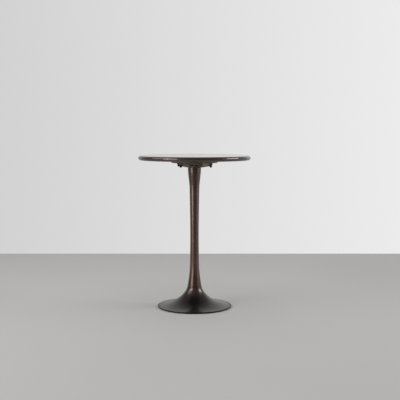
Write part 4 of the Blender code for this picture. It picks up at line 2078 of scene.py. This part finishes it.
@dataclass
class Studio:
    """Pale floor and surround, soft lamps and the camera.

    The pairs from horizon to ground_reach are parts of a direction of length 1, seen from the table.
    What a pair divides passes smoothly from one to the other between its two values.

    Attributes:
        floor: finish of the floor.
        half_floor: half the side of the floor.
        boxes: the lamps.
        pale: brightness of the backdrop, to the camera and in reflections.
        pale_slope: how much brighter it is behind the table's right side.
        front: brightness of the room before the table.
        back: light of the wall behind the table on surfaces that don't mirror it.
        ground: brightness of the floor further out, beside and behind the table.
        ground_slope: how much brighter that floor is to the right.
        overhead: extra brightness of the room above.
        horizon: height that divides the ground from the wall.
        wall_sides: depth that divides the room from the wall behind the table.
        wall_top: height that divides that wall from the room over it.
        ceiling: height that divides the room from its brighter part above.
        ground_reach: depth that divides the room's front from the floor further out.
        sky: power of the lamp overhead, which lights the floor and shows in no reflection.
        sky_size: diameter of that lamp.
        sky_level: its height.
        camera_place: where the camera stands.
        camera_tilt: how far it looks down, in radians.
        lens: its focal length in millimetres.
        sensor: the width of its picture in millimetres.
    """

    floor: bpy.types.Material
    half_floor: float = 1.44
    boxes: tuple[SoftBox, ...] = (
        SoftBox("left_low", -48.5, 2.5, 0.27, 1.3, 0.54, 7.6),
        SoftBox("right_low", 76.0, 2.5, 0.6, 1.8, 1.2, 3.7),
        SoftBox("left_side", -75.0, 3.0, 2.4, 2.4, 1.8, 30.0),
        SoftBox("left_window", -50.0, 7.0, 3.70, 3.6, 1.8, 178.0),
        SoftBox("right_window", 89.0, 7.0, 3.95, 4.2, 2.1, 240.0),
    )
    pale: float = 0.74
    pale_slope: float = 0.42
    front: float = 0.16
    back: float = 0.58
    ground: float = 0.50
    ground_slope: float = 0.10
    overhead: float = 0.12
    horizon: Point = (-0.03, 0.02)
    wall_sides: Point = (0.45, 0.80)
    wall_top: Point = (0.60, 0.95)
    ceiling: Point = (0.2, 0.7)
    ground_reach: Point = (-0.75, -0.2)
    sky: float = 13.0
    sky_size: float = 3.0
    sky_level: float = 2.6
    camera_place: tuple[float, float, float] = (0.0222, -3.3178, 0.7116)
    camera_tilt: float = 0.0837
    lens: float = 74.49
    sensor: float = 36.0

    def build_floor(self) -> None:
        """Lays the floor."""
        half = self.half_floor
        mesh = bpy.data.meshes.new("floor")
        corners = [(-half, -half, 0.0), (half, -half, 0.0), (half, half, 0.0), (-half, half, 0.0)]
        mesh.from_pydata(corners, [], [(0, 1, 2, 3)])
        mesh.materials.append(self.floor)
        placed("floor", mesh)

    def build_surround(self) -> None:
        """Sets the world: plain and pale to the camera, a soft room to the table."""
        world = bpy.data.worlds.new("studio")
        world.use_nodes = True
        graph = Graph(world.node_tree)
        x, y, z = graph.split(graph.node("ShaderNodeTexCoord", output="Generated"))
        seen = graph.node("ShaderNodeLightPath", output="Is Camera Ray")
        mirrored = seen.out("Is Glossy Ray") + seen.out("Is Transmission Ray")
        above = graph.ease(z, *self.horizon)
        wall = graph.ease(y, *self.wall_sides) * (1.0 - graph.ease(z, *self.wall_top)) * above
        room = self.front + self.overhead * graph.ease(z, *self.ceiling)
        ground = self.ground + self.ground_slope * x
        room = room + (ground - room) * (1.0 - above) * graph.ease(y, *self.ground_reach)
        backdrop = self.pale + self.pale_slope * x * y
        brightness = room + (backdrop - room) * (seen + mirrored * wall)
        brightness = brightness + self.back * wall * (1.0 - seen - mirrored)
        tone = graph.join(brightness, brightness, brightness)
        graph.fill(world.node_tree.nodes["Background"], {"Color": tone, "Strength": 1.0})
        bpy.context.scene.world = world

    def build_sky(self) -> None:
        """Hangs a wide lamp over the table for the floor's light and the table's shadow."""
        light = bpy.data.lights.new("sky", "AREA")
        light.shape = "DISK"
        light.size = self.sky_size
        light.energy = self.sky
        lamp = placed("sky", light)
        lamp.location = (0.0, 0.0, self.sky_level)
        lamp.visible_camera = False
        lamp.visible_glossy = False

    def build_camera(self) -> None:
        """Sets up the camera."""
        data = bpy.data.cameras.new("camera")
        data.sensor_width = self.sensor
        data.lens = self.lens
        camera = placed("camera", data)
        camera.location = self.camera_place
        camera.rotation_euler = (math.pi / 2 - self.camera_tilt, 0.0, 0.0)
        bpy.context.scene.camera = camera

    def build(self) -> None:
        """Sets up the whole studio."""
        bpy.context.scene.view_settings.view_transform = "Standard"
        self.build_floor()
        self.build_surround()
        for box in self.boxes:
            box.build()
        self.build_sky()
        self.build_camera()


def main() -> None:
    """Builds the table over its frame, then the studio."""
    logging.basicConfig(level=logging.INFO, format="%(message)s")
    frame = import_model()

    casting = RawCasting("sand_casting").material()
    black = BlackOxide("blackened_steel").material()
    zinc = ZincPlate("plated_steel").material()
    board = SealedBoard("sealed_board").material()
    felt = DenseFelt("dense_felt").material()
    ring = FastenerRing()
    coil = SpringCoil()

    TableTop(TOP_BRONZE.material(), board).dress()
    MountingPlate(PLATE_BRONZE.material(), zinc, ring).dress()
    Spider(casting, black, ring, coil).dress(frame["nodes"]["spider"])
    Column(COLUMN_BRONZE.material()).dress()
    Base(BASE_BRONZE.material(), felt, ring).dress()
    TieRod(zinc, coil).dress()
    Studio(PaleFloor("pale_floor").material()).build()


if __name__ == "__main__":
    main()
